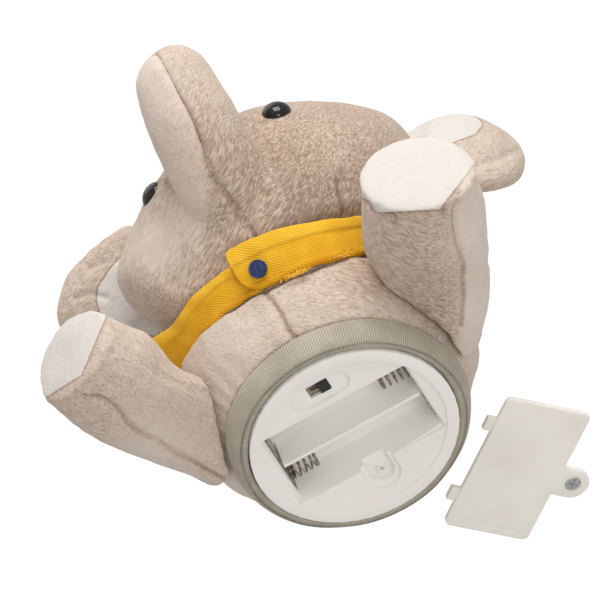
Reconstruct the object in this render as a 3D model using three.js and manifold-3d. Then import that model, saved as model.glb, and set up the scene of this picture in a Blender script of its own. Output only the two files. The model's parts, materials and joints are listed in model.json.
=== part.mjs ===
// Musical plush elephant that sits on a round battery base, in millimetres.
// +Z is up, -Y is the elephant's front and +X is its left. Everything is placed from the middle of the
// base rim, and at the end the whole moves so that the origin is on the floor under its middle.
// The battery door is off and lies on the floor behind the base, inner side up.

import * as THREE from 'three';
import { mergeVertices } from 'three/addons/utils/BufferGeometryUtils.js';
import Module from 'manifold-3d';

const wasm = await Module();
wasm.setup();

// Fits
const seatGap = 0.3; // between pieces that rest on each other
const runGap = 0.25; // round pieces that slide or turn
const overrun = 1; // how far a cut runs past a face

// How finely round shapes are divided
const largeSides = 44;
const middleSides = 24;
const smallSides = 12;
const wireSides = 5;
const limbSides = 18;
const plushSides = 26;

// AA cells, two side by side
const cellLength = 50.5;
const cellDiameter = 14.5;
const cellPlay = 0.9; // each side of a cell
const springRoom = 8.9; // what the bay is longer than a cell

// Base plate
const rimRadius = 40;
const rimWidth = 4.6;
const faceRecess = 1.2; // the flat face lies this far inside the rim
const plateWall = 2;
const boxWall = 1.5;
const dividerWall = 1.4;
const dividerSetback = 0.6; // the divider stays this far below the door
const dividerNotch = 1.1; // at both ends, where the contacts pass
const boxForward = 0.7; // the battery box sits this far forward of the middle

// Battery door
const doorThickness = 2;
const doorLedge = 1; // the door rests on this much of the box wall
const doorGap = 0.4;
const doorCorner = 2.5;
const tabReach = 3.3;
const tabWidth = 5.6;
const tabThickness = 1.2;
const tabSpread = 33.6; // middle to middle
const earRadius = 6.4;
const earReach = 6.6; // from the door's edge to the screw
const earSideways = 1.4;
const doorMarkLength = 9.5;
const doorMarkWidth = 1.3;
const doorMarkDepth = 0.4;
const doorMarkInset = 3.4;
const doorClear = 0.8; // from the knit ring to the tabs of the door on the floor
const doorAway = 0.863; // where it lies round the base, in radians from +X toward the back

// Door screw
const screwRadius = 1.45;
const screwLength = 8.2;
const screwPointLength = 2;
const screwHeadRadius = 2.9;
const screwHeadHeight = 1.1;
const screwHeadSink = 0.2;
const crossWidth = 0.7;
const crossLength = 3.4;
const crossDepth = 0.6;

// Screw boss in the base plate
const bossRadius = 1.9;
const bossHoleRadius = 1.05;
const bossWellRadius = 4.85;
const bossWellDepth = 3;
const bossSetback = 1.2; // its top lies this far behind the door's seat
const bossLength = 9;

// Slide switch
const switchDishLength = 24.3;
const switchDishWidth = 10.6;
const switchDishDepth = 2.2;
const switchForward = 26.6;
const switchSideways = -1.7;
const windowLength = 8.7;
const windowWidth = 5.6;
const knobLength = 3.9;
const knobProud = 2.1;
const knobNeckLength = 2.2;
const knobNeckWidth = 2;
const knobNeckDepth = 2;
const switchTravel = 4;
const switchBodyLength = 12.4;
const switchBodyWidth = 6.6;
const switchBodyHeight = 4.4;

// Battery contacts
const contactWall = 0.4;
const contactHeight = 10;
const contactWidth = 11;
const contactTailWidth = 2.4;
const contactTailRise = 3.2; // above the box
const springWireRadius = 0.35;
const springRadius = 3.6;
const springCurls = 5;
const springLength = 10.4;
const springStepsPerCurl = 8;
const springBackGap = 0.3;

// Housing cup behind the plate
const cupSetback = 1.2; // inside the rim
const cupWall = 1.6;
const cupHeight = 42;
const cupChamfer = 3;
const grilleHoleRadius = 1.8;
const grilleRingRadius = 9;
const grilleHoles = 8;
const columnRadius = 3.6;
const columnBoreRadius = 2.75;
const columnFloor = 1.6;
const postRadius = 3;
const postHeight = 7;
const columnFrontSpread = 20;
const columnFrontReach = 24.6;
const columnBackSpread = 17.4;
const columnBackReach = 26;
const caseScrewRadius = 1.3;
const caseScrewHeadRadius = 2.4;
const caseScrewHeadHeight = 1.6;
const caseScrewLength = 7;

// Circuit board
const boardLength = 40;
const boardWidth = 22;
const boardThickness = 1.6;
const boardRise = 2.8; // above the battery box
const boardPostRadius = 2.6;
const boardPostSpread = 32;
const boardScrewRadius = 0.9;
const boardScrewHeadRadius = 2;
const boardScrewHeadHeight = 1.2;
const boardScrewLength = 3.6;
const chipRadius = 4.2;
const chipHeight = 1.6;
const chipSideways = -5;
const capacitorRadius = 2.5;
const capacitorHeight = 5;
const capacitorSideways = 8;
const capacitorBack = 5;

// Speaker
const speakerRadius = 20;
const speakerFlange = 3;
const speakerFlangeWall = 1.2;
const speakerDepth = 7;
const speakerNeckRadius = 12.5;
const basketWall = 1;
const basketWindows = 4;
const basketWindowWidth = 7;
const magnetRadius = 11;
const magnetHeight = 6;
const coneWall = 0.6;
const coneDepth = 4.4;
const coneCapRadius = 5;
const coneCapRise = 2;

// Wires
const wireRadius = 0.6;
const wireSteps = 9;

// Knit ring sewn round the base
const knitInnerClear = 0.4;
const knitWidth = 6.4;
const knitHeight = 11;
const knitRise = 1;
const knitShares = [
  [0, 0],
  [0.5, 0.14],
  [0.9, 0.4],
  [1, 0.64],
  [0.86, 0.96],
  [0, 1],
];

// Stuffed body. Rows: height, half width, half depth and forward shift, as shares.
const bodyHeight = 76;
const bodyHalfWidth = 57;
const bodyHalfDepth = 56.5;
const bodyRows = 10;
const bodyShares = [
  [0, 0.82, 0.83, 0],
  [0.12, 0.93, 0.9, 0],
  [0.3, 1, 0.96, 0.01],
  [0.5, 0.98, 0.96, 0.02],
  [0.7, 0.86, 0.88, 0.03],
  [0.87, 0.62, 0.66, 0.05],
  [0.97, 0.3, 0.32, 0.06],
  [1, 0, 0, 0.06],
];
const pocketClear = 0.5; // round the housing cup

// Head. Its group is turned a little to the elephant's right.
const headHalfWidth = 61.5;
const headHalfDepth = 55;
const headHalfHeight = 55;
const headSideways = 6;
const headForward = 21;
const headRise = 87;
const headTurn = -0.122;
const headRows = 13;

// Trunk. Its middle line runs sideways, forward and up from the head's middle, in shares of its reach.
const trunkReach = 80;
const trunkRadius = 17.6;
const trunkRows = 9;
const trunkCapRows = 4;
const trunkLineShares = [
  [0, 0.43, -0.14],
  [0.01, 0.66, -0.03],
  [0.04, 0.86, 0.12],
  [0.07, 1, 0.28],
];
const trunkRadiusShares = [[1.12], [1.02], [0.98], [0.9], [0.78]];

// Eyes
const eyeRadius = 5.9;
const eyeDomeHeight = 4.6;
const eyeSideways = 28.2;
const eyeRise = 18;
const eyeSink = 0.6; // how far the dome's edge sits in the pile
const eyeShankRadius = 1.3;
const eyeShankLength = 11;
const washerRadius = 5.6;
const washerThickness = 1.4;
const washerDepth = 5;
const domeRows = 5;

// Ears. Rows: distance out, half height and half thickness, as shares.
const earLength = 43;
const earHalfHeight = 24.5;
const earHalfThickness = 8.5;
const earRows = 9;
const earShares = [
  [0, 0.56, 0.4],
  [0.18, 0.78, 0.66],
  [0.42, 1, 1],
  [0.68, 0.97, 1],
  [0.88, 0.7, 0.8],
  [0.97, 0.38, 0.46],
  [1, 0, 0],
];
// How far back and up on the head each ear is sewn, in shares of the head's half depth and half height.
const earRootShares = { left: [0.24, 0.44], right: [0.1, 0.52] };
const earRootRows = 3;
const earRootLift = 1.2; // from the head's surface to the hinge line
const liningThickness = 1.2;
const liningLength = 30;
const liningHeight = 30;
const liningOut = 20;
const earSwing = 0.19; // each way, in radians
const earSwingSteps = 1;
// Name, side, swing toward the back, droop and upward roll of each ear, in radians.
const earPoses = [
  ['left', 1, 0.69, 0.2, 0.17],
  ['right', -1, -0.27, -0.47, -0.7],
];

// Legs, with the radius from hip to sole in shares. The knee draws the leg's line outward.
const legRadius = 23;
const legRows = 9;
const legRadiusShares = [[0.74], [0.8], [0.9], [1.01], [0.96]];
// Sideways, forward and up places of each hip, knee and sole, in shares of the reach.
const leftLegShares = [
  [0.55, -0.02, 0.36],
  [0.79, 0.74, 0.33],
  [0.85, 0.91, 0.33],
];
const rightLegShares = [
  [-0.56, 0.08, 0.36],
  [-0.82, 0.78, 0.31],
  [-0.9, 0.95, 0.33],
];
const legReach = 80;
const soleRadius = 22;
const soleThickness = 4;
const soleCrown = 2.4;
const soleRows = 4;

// Collar round the neck
const collarWidthShare = 0.982; // of the body's half width
const collarDepthShare = 0.892; // of the body's half depth
const collarHeight = 16;
const collarThickness = 1.6;
const collarLean = 0.3; // how far the lower edge runs in, as a share of the height
const collarForward = 9.4;
const collarSideways = 2.5;
const collarRise = 62.6;
const collarRoll = 0.05; // left side down
const collarTilt = 0.36; // front edge down, in radians
const collarSides = 44;
const collarGrooveClear = 0.5;
const legCollarClear = 5; // the legs stay this far from the collar's edges
const flapArc = 1.25; // of the overlapping end, in radians
const flapStart = -0.21; // its free end, round from the front
const flapHeight = 19;
const flapSteps = 14;
const snapRadius = 3.5;
const snapHeight = 1.4;
const snapInset = 8.5;
const snapDrop = 2.8; // below the middle of the overlapping end

// Places that follow from the sizes above
const faceRadius = rimRadius - rimWidth;
const plateBack = faceRecess + plateWall;
const doorSeat = faceRecess + doorThickness;
const bayLength = cellLength + springRoom;
const bayWidth = 2 * (cellDiameter + 2 * cellPlay) + dividerWall;
const bayCeiling = doorSeat + cellDiameter;
const boxTop = bayCeiling + boxWall;
const doorLength = bayLength + 2 * doorLedge - 2 * doorGap;
const doorWidth = bayWidth + 2 * doorLedge - 2 * doorGap;
const pocketEdge = bayWidth / 2 + doorLedge - boxForward;
const bossBack = pocketEdge - doorGap + earReach;
const bossTop = doorSeat + bossSetback;
const cupRadius = rimRadius - cupSetback;
const cupFoot = plateBack + seatGap;
const cupTop = cupFoot + cupHeight;
const boardBottom = boxTop + boardRise + seatGap;
const boardTop = boardBottom + boardThickness;
const knitInnerRadius = rimRadius + knitInnerClear;
const knitTop = knitRise + knitHeight;
const bodyFoot = knitTop + seatGap;
const collarHalfWidth = collarWidthShare * bodyHalfWidth;
const collarHalfDepth = collarDepthShare * bodyHalfDepth;

const fabric = (color) => new THREE.MeshStandardMaterial({ color, roughness: 0.95, metalness: 0 });
const plastic = (color, roughness) => new THREE.MeshStandardMaterial({ color, roughness, metalness: 0 });
const metal = (color, roughness) => new THREE.MeshStandardMaterial({ color, roughness, metalness: 1 });

const materials = {
  plush: fabric(0xcdbcae),
  whitePlush: fabric(0xf0ece6),
  knit: fabric(0x9d9582),
  twill: fabric(0xf6b820),
  base: plastic(0xe9e6df, 0.45),
  door: plastic(0xe2ded6, 0.4),
  housing: plastic(0xdad7cf, 0.5),
  eye: plastic(0x0b0b0d, 0.08),
  washer: plastic(0xd8d8d4, 0.5),
  navy: plastic(0x1c2440, 0.4),
  black: plastic(0x17171a, 0.5),
  board: plastic(0x2f6b3c, 0.5),
  cone: plastic(0x2a2a2c, 0.8),
  redWire: plastic(0xb3261e, 0.5),
  steel: metal(0xb9bbbd, 0.3),
  nickel: metal(0xc9c6bd, 0.25),
  magnet: metal(0x3b3d40, 0.45),
};

// A closed solid from a geometry, with shared corners merged and flat triangles dropped.
function solidOf(geometry) {
  const bare = new THREE.BufferGeometry();
  bare.setAttribute('position', geometry.getAttribute('position').clone());
  if (geometry.index) bare.setIndex(geometry.index.clone());
  const merged = mergeVertices(bare);
  const corners = merged.index.array;
  const kept = [];
  for (let i = 0; i < corners.length; i += 3) {
    const [a, b, c] = [corners[i], corners[i + 1], corners[i + 2]];
    if (a !== b && b !== c && c !== a) kept.push(a, b, c);
  }
  const vertProperties = new Float32Array(merged.getAttribute('position').array);
  return new wasm.Manifold(new wasm.Mesh({ numProp: 3, vertProperties, triVerts: new Uint32Array(kept) }));
}

function geometryOf(solid) {
  const data = solid.getMesh();
  const geometry = new THREE.BufferGeometry();
  geometry.setAttribute('position', new THREE.BufferAttribute(data.vertProperties, 3));
  geometry.setIndex(new THREE.BufferAttribute(data.triVerts, 1));
  return geometry;
}

function piece(name, solid, material, parent) {
  const mesh = new THREE.Mesh(geometryOf(solid), material.clone());
  mesh.name = name;
  parent.add(mesh);
  return mesh;
}

// An upright cylinder from one height to another.
function drum(radius, low, high, sides, x = 0, y = 0) {
  const geometry = new THREE.CylinderGeometry(radius, radius, high - low, sides);
  geometry.rotateX(Math.PI / 2);
  geometry.translate(x, y, (low + high) / 2);
  return solidOf(geometry);
}

// An upright cone frustum.
function taper(lowRadius, highRadius, low, high, sides) {
  const geometry = new THREE.CylinderGeometry(highRadius, lowRadius, high - low, sides);
  geometry.rotateX(Math.PI / 2);
  geometry.translate(0, 0, (low + high) / 2);
  return solidOf(geometry);
}

// A block given by its middle in plan, its plan size and its lowest and highest z.
function block(x, y, length, width, low, high) {
  const geometry = new THREE.BoxGeometry(length, width, high - low);
  geometry.translate(x, y, (low + high) / 2);
  return solidOf(geometry);
}

// A solid of revolution about Z from a closed profile of [radius, z] points.
function turned(profile, sides) {
  const points = profile.map(([radius, z]) => new THREE.Vector2(radius, z));
  const geometry = new THREE.LatheGeometry(points, sides);
  geometry.rotateX(Math.PI / 2);
  return outward(geometry);
}

// A solid whose faces point out, whichever way round its geometry was made.
function outward(geometry) {
  const position = geometry.getAttribute('position');
  const index = geometry.index.array;
  const [a, b, c] = [new THREE.Vector3(), new THREE.Vector3(), new THREE.Vector3()];
  let volume = 0;
  for (let i = 0; i < index.length; i += 3) {
    a.fromBufferAttribute(position, index[i]);
    b.fromBufferAttribute(position, index[i + 1]);
    c.fromBufferAttribute(position, index[i + 2]);
    volume += a.dot(b.cross(c));
  }
  if (volume < 0) {
    for (let i = 0; i < index.length; i += 3) [index[i], index[i + 1]] = [index[i + 1], index[i]];
  }
  return solidOf(geometry);
}

// A rounded rectangle about the origin. With the full corner radius it is a slot with round ends.
function roundedShape(length, width, radius) {
  const [x, y] = [length / 2, width / 2];
  const shape = new THREE.Shape();
  shape.moveTo(radius - x, -y);
  shape.lineTo(x - radius, -y);
  shape.absarc(x - radius, radius - y, radius, -Math.PI / 2, 0);
  shape.lineTo(x, y - radius);
  shape.absarc(x - radius, y - radius, radius, 0, Math.PI / 2);
  shape.lineTo(radius - x, y);
  shape.absarc(radius - x, y - radius, radius, Math.PI / 2, Math.PI);
  shape.lineTo(-x, radius - y);
  shape.absarc(radius - x, radius - y, radius, Math.PI, 1.5 * Math.PI);
  return shape;
}

// A prism over a shape, from one height to another.
function prism(shape, low, high, x = 0, y = 0) {
  const options = { depth: high - low, bevelEnabled: false, curveSegments: smallSides / 2 };
  const geometry = new THREE.ExtrudeGeometry(shape, options);
  geometry.translate(x, y, low);
  return solidOf(geometry);
}

// A tongue that starts at a straight edge and ends round: a block with a drum at its end.
function tongue(radius, x, edge, middle, low, high) {
  const stem = block(x, (edge + middle) / 2, 2 * radius, middle - edge, low, high);
  return stem.add(drum(radius, low, high, middleSides, x, middle));
}

// A closed skin over rings of points. Each end is closed by a fan to its middle.
function skin(rings) {
  const positions = [];
  const index = [];
  const sides = rings[0].length;
  for (const ring of rings) {
    for (const point of ring) positions.push(point.x, point.y, point.z);
  }
  for (let row = 0; row + 1 < rings.length; row += 1) {
    for (let side = 0; side < sides; side += 1) {
      const next = (side + 1) % sides;
      const [a, b] = [row * sides + side, row * sides + next];
      index.push(a, b, b + sides, a, b + sides, a + sides);
    }
  }
  for (const [row, turn] of [[0, 1], [rings.length - 1, 0]]) {
    const middle = new THREE.Vector3();
    for (const point of rings[row]) middle.addScaledVector(point, 1 / sides);
    const hub = positions.length / 3;
    positions.push(middle.x, middle.y, middle.z);
    for (let side = 0; side < sides; side += 1) {
      const here = row * sides + side;
      const next = row * sides + ((side + 1) % sides);
      index.push(hub, turn ? next : here, turn ? here : next);
    }
  }
  const geometry = new THREE.BufferGeometry();
  geometry.setAttribute('position', new THREE.Float32BufferAttribute(positions, 3));
  geometry.setIndex(index);
  return outward(geometry);
}

// An oval ring of points about a middle, with its two half axes as vectors.
function oval(middle, across, along, sides) {
  const ring = [];
  for (let side = 0; side < sides; side += 1) {
    const angle = (2 * Math.PI * side) / sides;
    const point = middle.clone();
    point.addScaledVector(across, Math.cos(angle));
    point.addScaledVector(along, Math.sin(angle));
    ring.push(point);
  }
  return ring;
}

// A table of shares read smoothly at a position from 0 to 1.
function smoothRow(rows, position) {
  const place = position * (rows.length - 1);
  const start = Math.min(Math.floor(place), rows.length - 2);
  const t = place - start;
  const at = (row) => rows[Math.min(Math.max(row, 0), rows.length - 1)];
  return rows[0].map((_, column) => {
    const [p, q, r, s] = [at(start - 1), at(start), at(start + 1), at(start + 2)].map((row) => row[column]);
    const even = 2 * q + (r - p) * t;
    const bend = (2 * p - 5 * q + 4 * r - s) * t * t;
    const turn = (3 * q - p - 3 * r + s) * t * t * t;
    return (even + bend + turn) / 2;
  });
}

// A tube along a smooth line through points.
function cordSolid(points, radius, steps) {
  const line = new THREE.CatmullRomCurve3(points);
  const section = new THREE.Shape();
  section.absarc(0, 0, radius, 0, 2 * Math.PI);
  const options = { steps, extrudePath: line, bevelEnabled: false, curveSegments: wireSides };
  return solidOf(new THREE.ExtrudeGeometry(section, options));
}

const axisZ = new THREE.Vector3(0, 0, 1);
const point = (x, y, z) => new THREE.Vector3(x, y, z);

const elephant = new THREE.Group();
const base = new THREE.Group();
elephant.add(base);

// Base plate: rim, recessed face, battery box with its divider, screw boss, switch dish and posts.
function basePlate() {
  const boxLength = bayLength + 2 * boxWall;
  const boxWidth = bayWidth + 2 * boxWall;
  const dishFloor = faceRecess + switchDishDepth;
  const dishRadius = switchDishWidth / 2;
  const wellFloor = doorSeat + bossWellDepth;
  const innerEdge = bayWidth / 2 - boxForward;
  const earPocketRadius = earRadius + doorGap;
  const dishShape = (grow) =>
    roundedShape(switchDishLength + 2 * grow, switchDishWidth + 2 * grow, dishRadius + grow);

  let plate = drum(rimRadius, 0, plateBack, largeSides);
  plate = plate.add(block(0, -boxForward, boxLength, boxWidth, faceRecess, boxTop));
  const dishBack = dishFloor + boxWall;
  plate = plate.add(prism(dishShape(boxWall), faceRecess, dishBack, switchSideways, -switchForward));
  const pocketBack = doorSeat + boxWall;
  plate = plate.add(tongue(earPocketRadius + boxWall, earSideways, innerEdge, bossBack, faceRecess, pocketBack));
  const wellBack = wellFloor + boxWall;
  plate = plate.add(tongue(bossWellRadius + boxWall, earSideways, innerEdge, bossBack, faceRecess, wellBack));

  plate = plate.subtract(drum(faceRadius, -overrun, faceRecess, largeSides));
  const pocketLength = bayLength + 2 * doorLedge;
  const pocketWidth = bayWidth + 2 * doorLedge;
  plate = plate.subtract(block(0, -boxForward, pocketLength, pocketWidth, -overrun, doorSeat));
  plate = plate.subtract(block(0, -boxForward, bayLength, bayWidth, 0, bayCeiling));
  plate = plate.subtract(tongue(earPocketRadius, earSideways, innerEdge, bossBack, -overrun, doorSeat));
  plate = plate.subtract(tongue(bossWellRadius, earSideways, innerEdge, bossBack, 0, wellFloor));
  plate = plate.subtract(prism(dishShape(0), -overrun, dishFloor, switchSideways, -switchForward));
  const windowLow = dishFloor - overrun;
  const windowHigh = dishBack + overrun;
  plate = plate.subtract(
    block(switchSideways, -switchForward, windowLength, windowWidth, windowLow, windowHigh)
  );
  for (const side of [-1, 1]) {
    const slotY = -boxForward - bayWidth / 2 - boxWall / 2;
    const slotWidth = tabWidth + 2 * doorGap;
    const slotTop = doorSeat + tabThickness + doorGap;
    plate = plate.subtract(block((side * tabSpread) / 2, slotY, slotWidth, boxWall * 2, doorSeat, slotTop));
  }

  const dividerLow = doorSeat + dividerSetback;
  const dividerLength = bayLength - 2 * dividerNotch;
  const dividerTop = bayCeiling + boxWall / 2;
  plate = plate.add(block(0, -boxForward, dividerLength, dividerWall, dividerLow, dividerTop));
  const stubHigh = wellBack - boxWall / 2;
  plate = plate.add(drum(bossRadius, bossTop, stubHigh, smallSides, earSideways, bossBack));
  const sleeveRadius = bossRadius + boxWall;
  const sleeveHigh = bossTop + bossLength;
  plate = plate.add(drum(sleeveRadius, wellBack - boxWall / 2, sleeveHigh, smallSides, earSideways, bossBack));
  const holeHigh = sleeveHigh - boxWall;
  plate = plate.subtract(
    drum(bossHoleRadius, bossTop - overrun, holeHigh, smallSides, earSideways, bossBack)
  );

  for (const [x, y] of columnPlaces()) {
    const post = drum(postRadius, plateBack - plateWall / 2, plateBack + postHeight, smallSides, x, y);
    const pilot = drum(caseScrewRadius, plateBack, plateBack + postHeight + overrun, smallSides, x, y);
    plate = plate.add(post).subtract(pilot);
  }
  for (const side of [-1, 1]) {
    const x = (side * boardPostSpread) / 2;
    const post = drum(boardPostRadius, boxTop - boxWall / 2, boxTop + boardRise, smallSides, x, -boxForward);
    const pilot = drum(boardScrewRadius, boxTop, boxTop + boardRise + overrun, smallSides, x, -boxForward);
    plate = plate.add(post).subtract(pilot);
  }
  for (const [, , y] of singleContacts()) {
    const x = bayLength / 2 - dividerNotch / 2;
    const slotWidth = contactTailWidth + 2 * runGap;
    plate = plate.subtract(block(x, y, dividerNotch, slotWidth, bayCeiling - overrun, boxTop + overrun));
  }
  return plate;
}

// Where the four columns stand that hold the housing cup on the plate.
function columnPlaces() {
  const places = [];
  for (const side of [-1, 1]) {
    places.push([side * columnFrontSpread, -columnFrontReach]);
    places.push([side * columnBackSpread, columnBackReach]);
  }
  return places;
}

// The middle of each battery bay, front and rear.
function bayMiddle(side) {
  return -boxForward + (side * (bayWidth + dividerWall)) / 4;
}

// Name, whether a spring stands on it and place of the two single contacts at the left end.
function singleContacts() {
  return [
    ['front', true, bayMiddle(-1)],
    ['rear', false, bayMiddle(1)],
  ];
}

piece('base_plate', basePlate(), materials.base, base);

// Housing cup: a drum with a chamfered top, a sound grille and four screw columns.
function housingCup() {
  const inner = cupRadius - cupWall;
  const ceiling = cupTop - cupWall;
  const shoulder = cupTop - cupChamfer;
  let cup = drum(cupRadius, cupFoot, shoulder, largeSides);
  cup = cup.add(taper(cupRadius, cupRadius - cupChamfer, shoulder, cupTop, largeSides));
  let hollow = drum(inner, cupFoot - overrun, shoulder - cupWall, largeSides);
  hollow = hollow.add(taper(inner, inner - cupChamfer + cupWall, shoulder - cupWall, ceiling, largeSides));
  cup = cup.subtract(hollow);
  const columnFoot = plateBack + postHeight + seatGap;
  for (const [x, y] of columnPlaces()) {
    const column = drum(columnRadius, columnFoot, cupTop - cupWall / 2, smallSides, x, y);
    const bore = drum(columnBoreRadius, columnFoot + columnFloor, cupTop + overrun, smallSides, x, y);
    const hole = drum(caseScrewRadius + runGap, columnFoot - overrun, cupTop, smallSides, x, y);
    cup = cup.add(column).subtract(bore).subtract(hole);
  }
  for (let hole = 0; hole < grilleHoles; hole += 1) {
    const angle = (2 * Math.PI * hole) / grilleHoles;
    const [x, y] = [grilleRingRadius * Math.cos(angle), grilleRingRadius * Math.sin(angle)];
    cup = cup.subtract(drum(grilleHoleRadius, ceiling - overrun, cupTop + overrun, smallSides, x, y));
  }
  return cup.subtract(drum(grilleHoleRadius, ceiling - overrun, cupTop + overrun, smallSides));
}

piece('inner_housing', housingCup(), materials.housing, base);

// A screw that stands point down, with the underside of its head at z = 0.
function panScrew(radius, length, headRadius, headHeight) {
  const shank = drum(radius, -length, headHeight / 2, smallSides);
  const head = drum(headRadius, 0, headHeight, smallSides);
  const slotLow = headHeight / 2;
  const slotHigh = headHeight + overrun;
  const slotLength = headRadius * 1.2;
  const slotWidth = headRadius / 4;
  const cross = block(0, 0, slotLength, slotWidth, slotLow, slotHigh).add(
    block(0, 0, slotWidth, slotLength, slotLow, slotHigh)
  );
  return shank.add(head).subtract(cross);
}

const screwPlay = 0.12; // round a screw in its pilot hole
columnPlaces().forEach(([x, y], number) => {
  const seat = plateBack + postHeight + seatGap + columnFloor + seatGap;
  const radius = caseScrewRadius - screwPlay;
  const screw = panScrew(radius, caseScrewLength, caseScrewHeadRadius, caseScrewHeadHeight);
  piece(`housing_screw_${number + 1}`, screw, materials.steel, base).position.set(x, y, seat);
});

// Circuit board on its two posts, with the chip under a blob of resin and one capacitor.
function boardSolid() {
  let board = block(0, -boxForward, boardLength, boardWidth, boardBottom, boardTop);
  for (const side of [-1, 1]) {
    const x = (side * boardPostSpread) / 2;
    const hole = drum(boardScrewRadius, boardBottom - overrun, boardTop + overrun, smallSides, x, -boxForward);
    board = board.subtract(hole);
  }
  return board;
}

piece('circuit_board', boardSolid(), materials.board, base);
[-1, 1].forEach((side, number) => {
  const radius = boardScrewRadius - screwPlay;
  const screw = panScrew(radius, boardScrewLength, boardScrewHeadRadius, boardScrewHeadHeight);
  const mesh = piece(`board_screw_${number + 1}`, screw, materials.steel, base);
  mesh.position.set((side * boardPostSpread) / 2, -boxForward, boardTop + seatGap);
});

// A low dome on a flat foot.
function dome(radius, height, rows, sides) {
  const rings = [];
  for (let row = 0; row <= rows; row += 1) {
    const angle = (Math.PI / 2) * (row / rows);
    const reach = radius * Math.cos(angle);
    const middle = point(0, 0, height * Math.sin(angle));
    rings.push(oval(middle, point(reach, 0, 0), point(0, reach, 0), sides));
  }
  return skin(rings);
}

const chip = piece('sound_chip', dome(chipRadius, chipHeight, 3, smallSides), materials.black, base);
chip.position.set(chipSideways, -boxForward, boardTop + seatGap);
const capacitor = piece('capacitor', drum(capacitorRadius, 0, capacitorHeight, smallSides), materials.black, base);
capacitor.position.set(capacitorSideways, capacitorBack - boxForward, boardTop + seatGap);

// Speaker under the top of the cup: basket, cone and magnet.
const flangeTop = cupTop - cupWall - seatGap;
const basketFloor = flangeTop - speakerDepth;

function speakerBasket() {
  const bore = magnetRadius / 2;
  const rim = speakerRadius - speakerFlange;
  const flangeFoot = flangeTop - speakerFlangeWall;
  const profile = [
    [bore, basketFloor],
    [speakerNeckRadius, basketFloor],
    [rim + basketWall, flangeFoot],
    [speakerRadius, flangeFoot],
    [speakerRadius, flangeTop],
    [rim, flangeTop],
    [rim, flangeFoot],
    [speakerNeckRadius - basketWall, basketFloor + basketWall],
    [bore, basketFloor + basketWall],
    [bore, basketFloor],
  ];
  let basket = turned(profile, middleSides);
  for (let arm = 0; arm < basketWindows; arm += 1) {
    const cut = new THREE.BoxGeometry(speakerRadius, basketWindowWidth, speakerDepth / 3);
    cut.translate(speakerRadius / 2 + speakerNeckRadius / 2, 0, basketFloor + speakerDepth / 2);
    cut.rotateZ(Math.PI / basketWindows + (2 * Math.PI * arm) / basketWindows);
    basket = basket.subtract(solidOf(cut));
  }
  return basket;
}

function speakerCone() {
  const top = flangeTop - seatGap;
  const rim = speakerRadius - speakerFlange - seatGap;
  const low = top - coneDepth;
  const profile = [
    [0, low + coneCapRise],
    [coneCapRadius / 2, low + coneCapRise * 0.8],
    [coneCapRadius, low],
    [rim - coneWall, top - coneWall],
    [rim, top - coneWall],
    [rim, top],
    [rim - 2 * coneWall, top],
    [coneCapRadius, low + coneWall * 2],
    [coneCapRadius / 2, low + coneCapRise * 0.8 + coneWall],
    [0, low + coneCapRise + coneWall],
  ];
  return turned(profile, middleSides);
}

piece('speaker_basket', speakerBasket(), materials.steel, base);
piece('speaker_cone', speakerCone(), materials.cone, base);
const magnetTop = basketFloor - seatGap;
const magnetSolid = drum(magnetRadius, magnetTop - magnetHeight, magnetTop, middleSides);
piece('speaker_magnet', magnetSolid, materials.magnet, base);

// Battery contacts. One plate bridges both bays at the right end, two stand at the left end.
const contactMiddle = doorSeat + cellDiameter / 2;
const contactLow = contactMiddle - contactHeight / 2;
const contactHigh = contactMiddle + contactHeight / 2;
const contactX = bayLength / 2 - seatGap - contactWall / 2;

function bridgeContact() {
  const width = bayMiddle(1) - bayMiddle(-1) + contactWidth;
  return block(-contactX, -boxForward, contactWall, width, contactLow, contactHigh);
}

function singleContact(y) {
  const tailTop = boxTop + contactTailRise;
  const plate = block(contactX, y, contactWall, contactWidth, contactLow, contactHigh);
  return plate.add(block(contactX, y, contactWall, contactTailWidth, contactMiddle, tailTop));
}

piece('bridge_contact', bridgeContact(), materials.nickel, base);
for (const [name, , y] of singleContacts()) {
  piece(`${name}_contact`, singleContact(y), materials.nickel, base);
}

// The closest that two stretches of a spring's wire come, measured between their surfaces.
function leastGap(line, skip, radius) {
  let least = Infinity;
  for (let a = 0; a < line.length; a += 1) {
    for (let b = a + skip; b < line.length; b += 1) least = Math.min(least, line[a].distanceTo(line[b]));
  }
  return least - 2 * radius;
}

// A coil contact spring that stands on a plate and points along X, as one unbroken wire.
function springSolid(direction) {
  const steps = springCurls * springStepsPerCurl;
  const line = [];
  for (let step = 0; step <= steps; step += 1) {
    const angle = (2 * Math.PI * step) / springStepsPerCurl;
    const reach = springBackGap + springWireRadius + (springLength * step) / steps;
    line.push(point(direction * reach, springRadius * Math.cos(angle), springRadius * Math.sin(angle)));
  }
  const gap = leastGap(line, springStepsPerCurl - 2, springWireRadius);
  console.log(`least gap in a battery spring: ${gap.toFixed(2)} mm`);
  const rings = line.map((middle, step) => {
    const before = line[Math.max(step - 1, 0)];
    const after = line[Math.min(step + 1, steps)];
    const along = after.clone().sub(before).normalize();
    const out = point(0, middle.y, middle.z).normalize();
    const side = along.clone().cross(out).normalize();
    const radial = side.clone().cross(along);
    const across = radial.multiplyScalar(springWireRadius);
    return oval(middle, across, side.multiplyScalar(springWireRadius), wireSides);
  });
  return skin(rings);
}

const springFoot = contactX - contactWall / 2;
const frontSpring = piece('front_battery_spring', springSolid(-1), materials.nickel, base);
frontSpring.position.set(springFoot, bayMiddle(-1), contactMiddle);
const rearSpring = piece('rear_battery_spring', springSolid(1), materials.nickel, base);
rearSpring.position.set(-springFoot, bayMiddle(1), contactMiddle);

// Slide switch behind its window, with the knob at the elephant's left end of its travel.
const dishBack = faceRecess + switchDishDepth + boxWall;
const switchFace = dishBack + seatGap;

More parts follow.
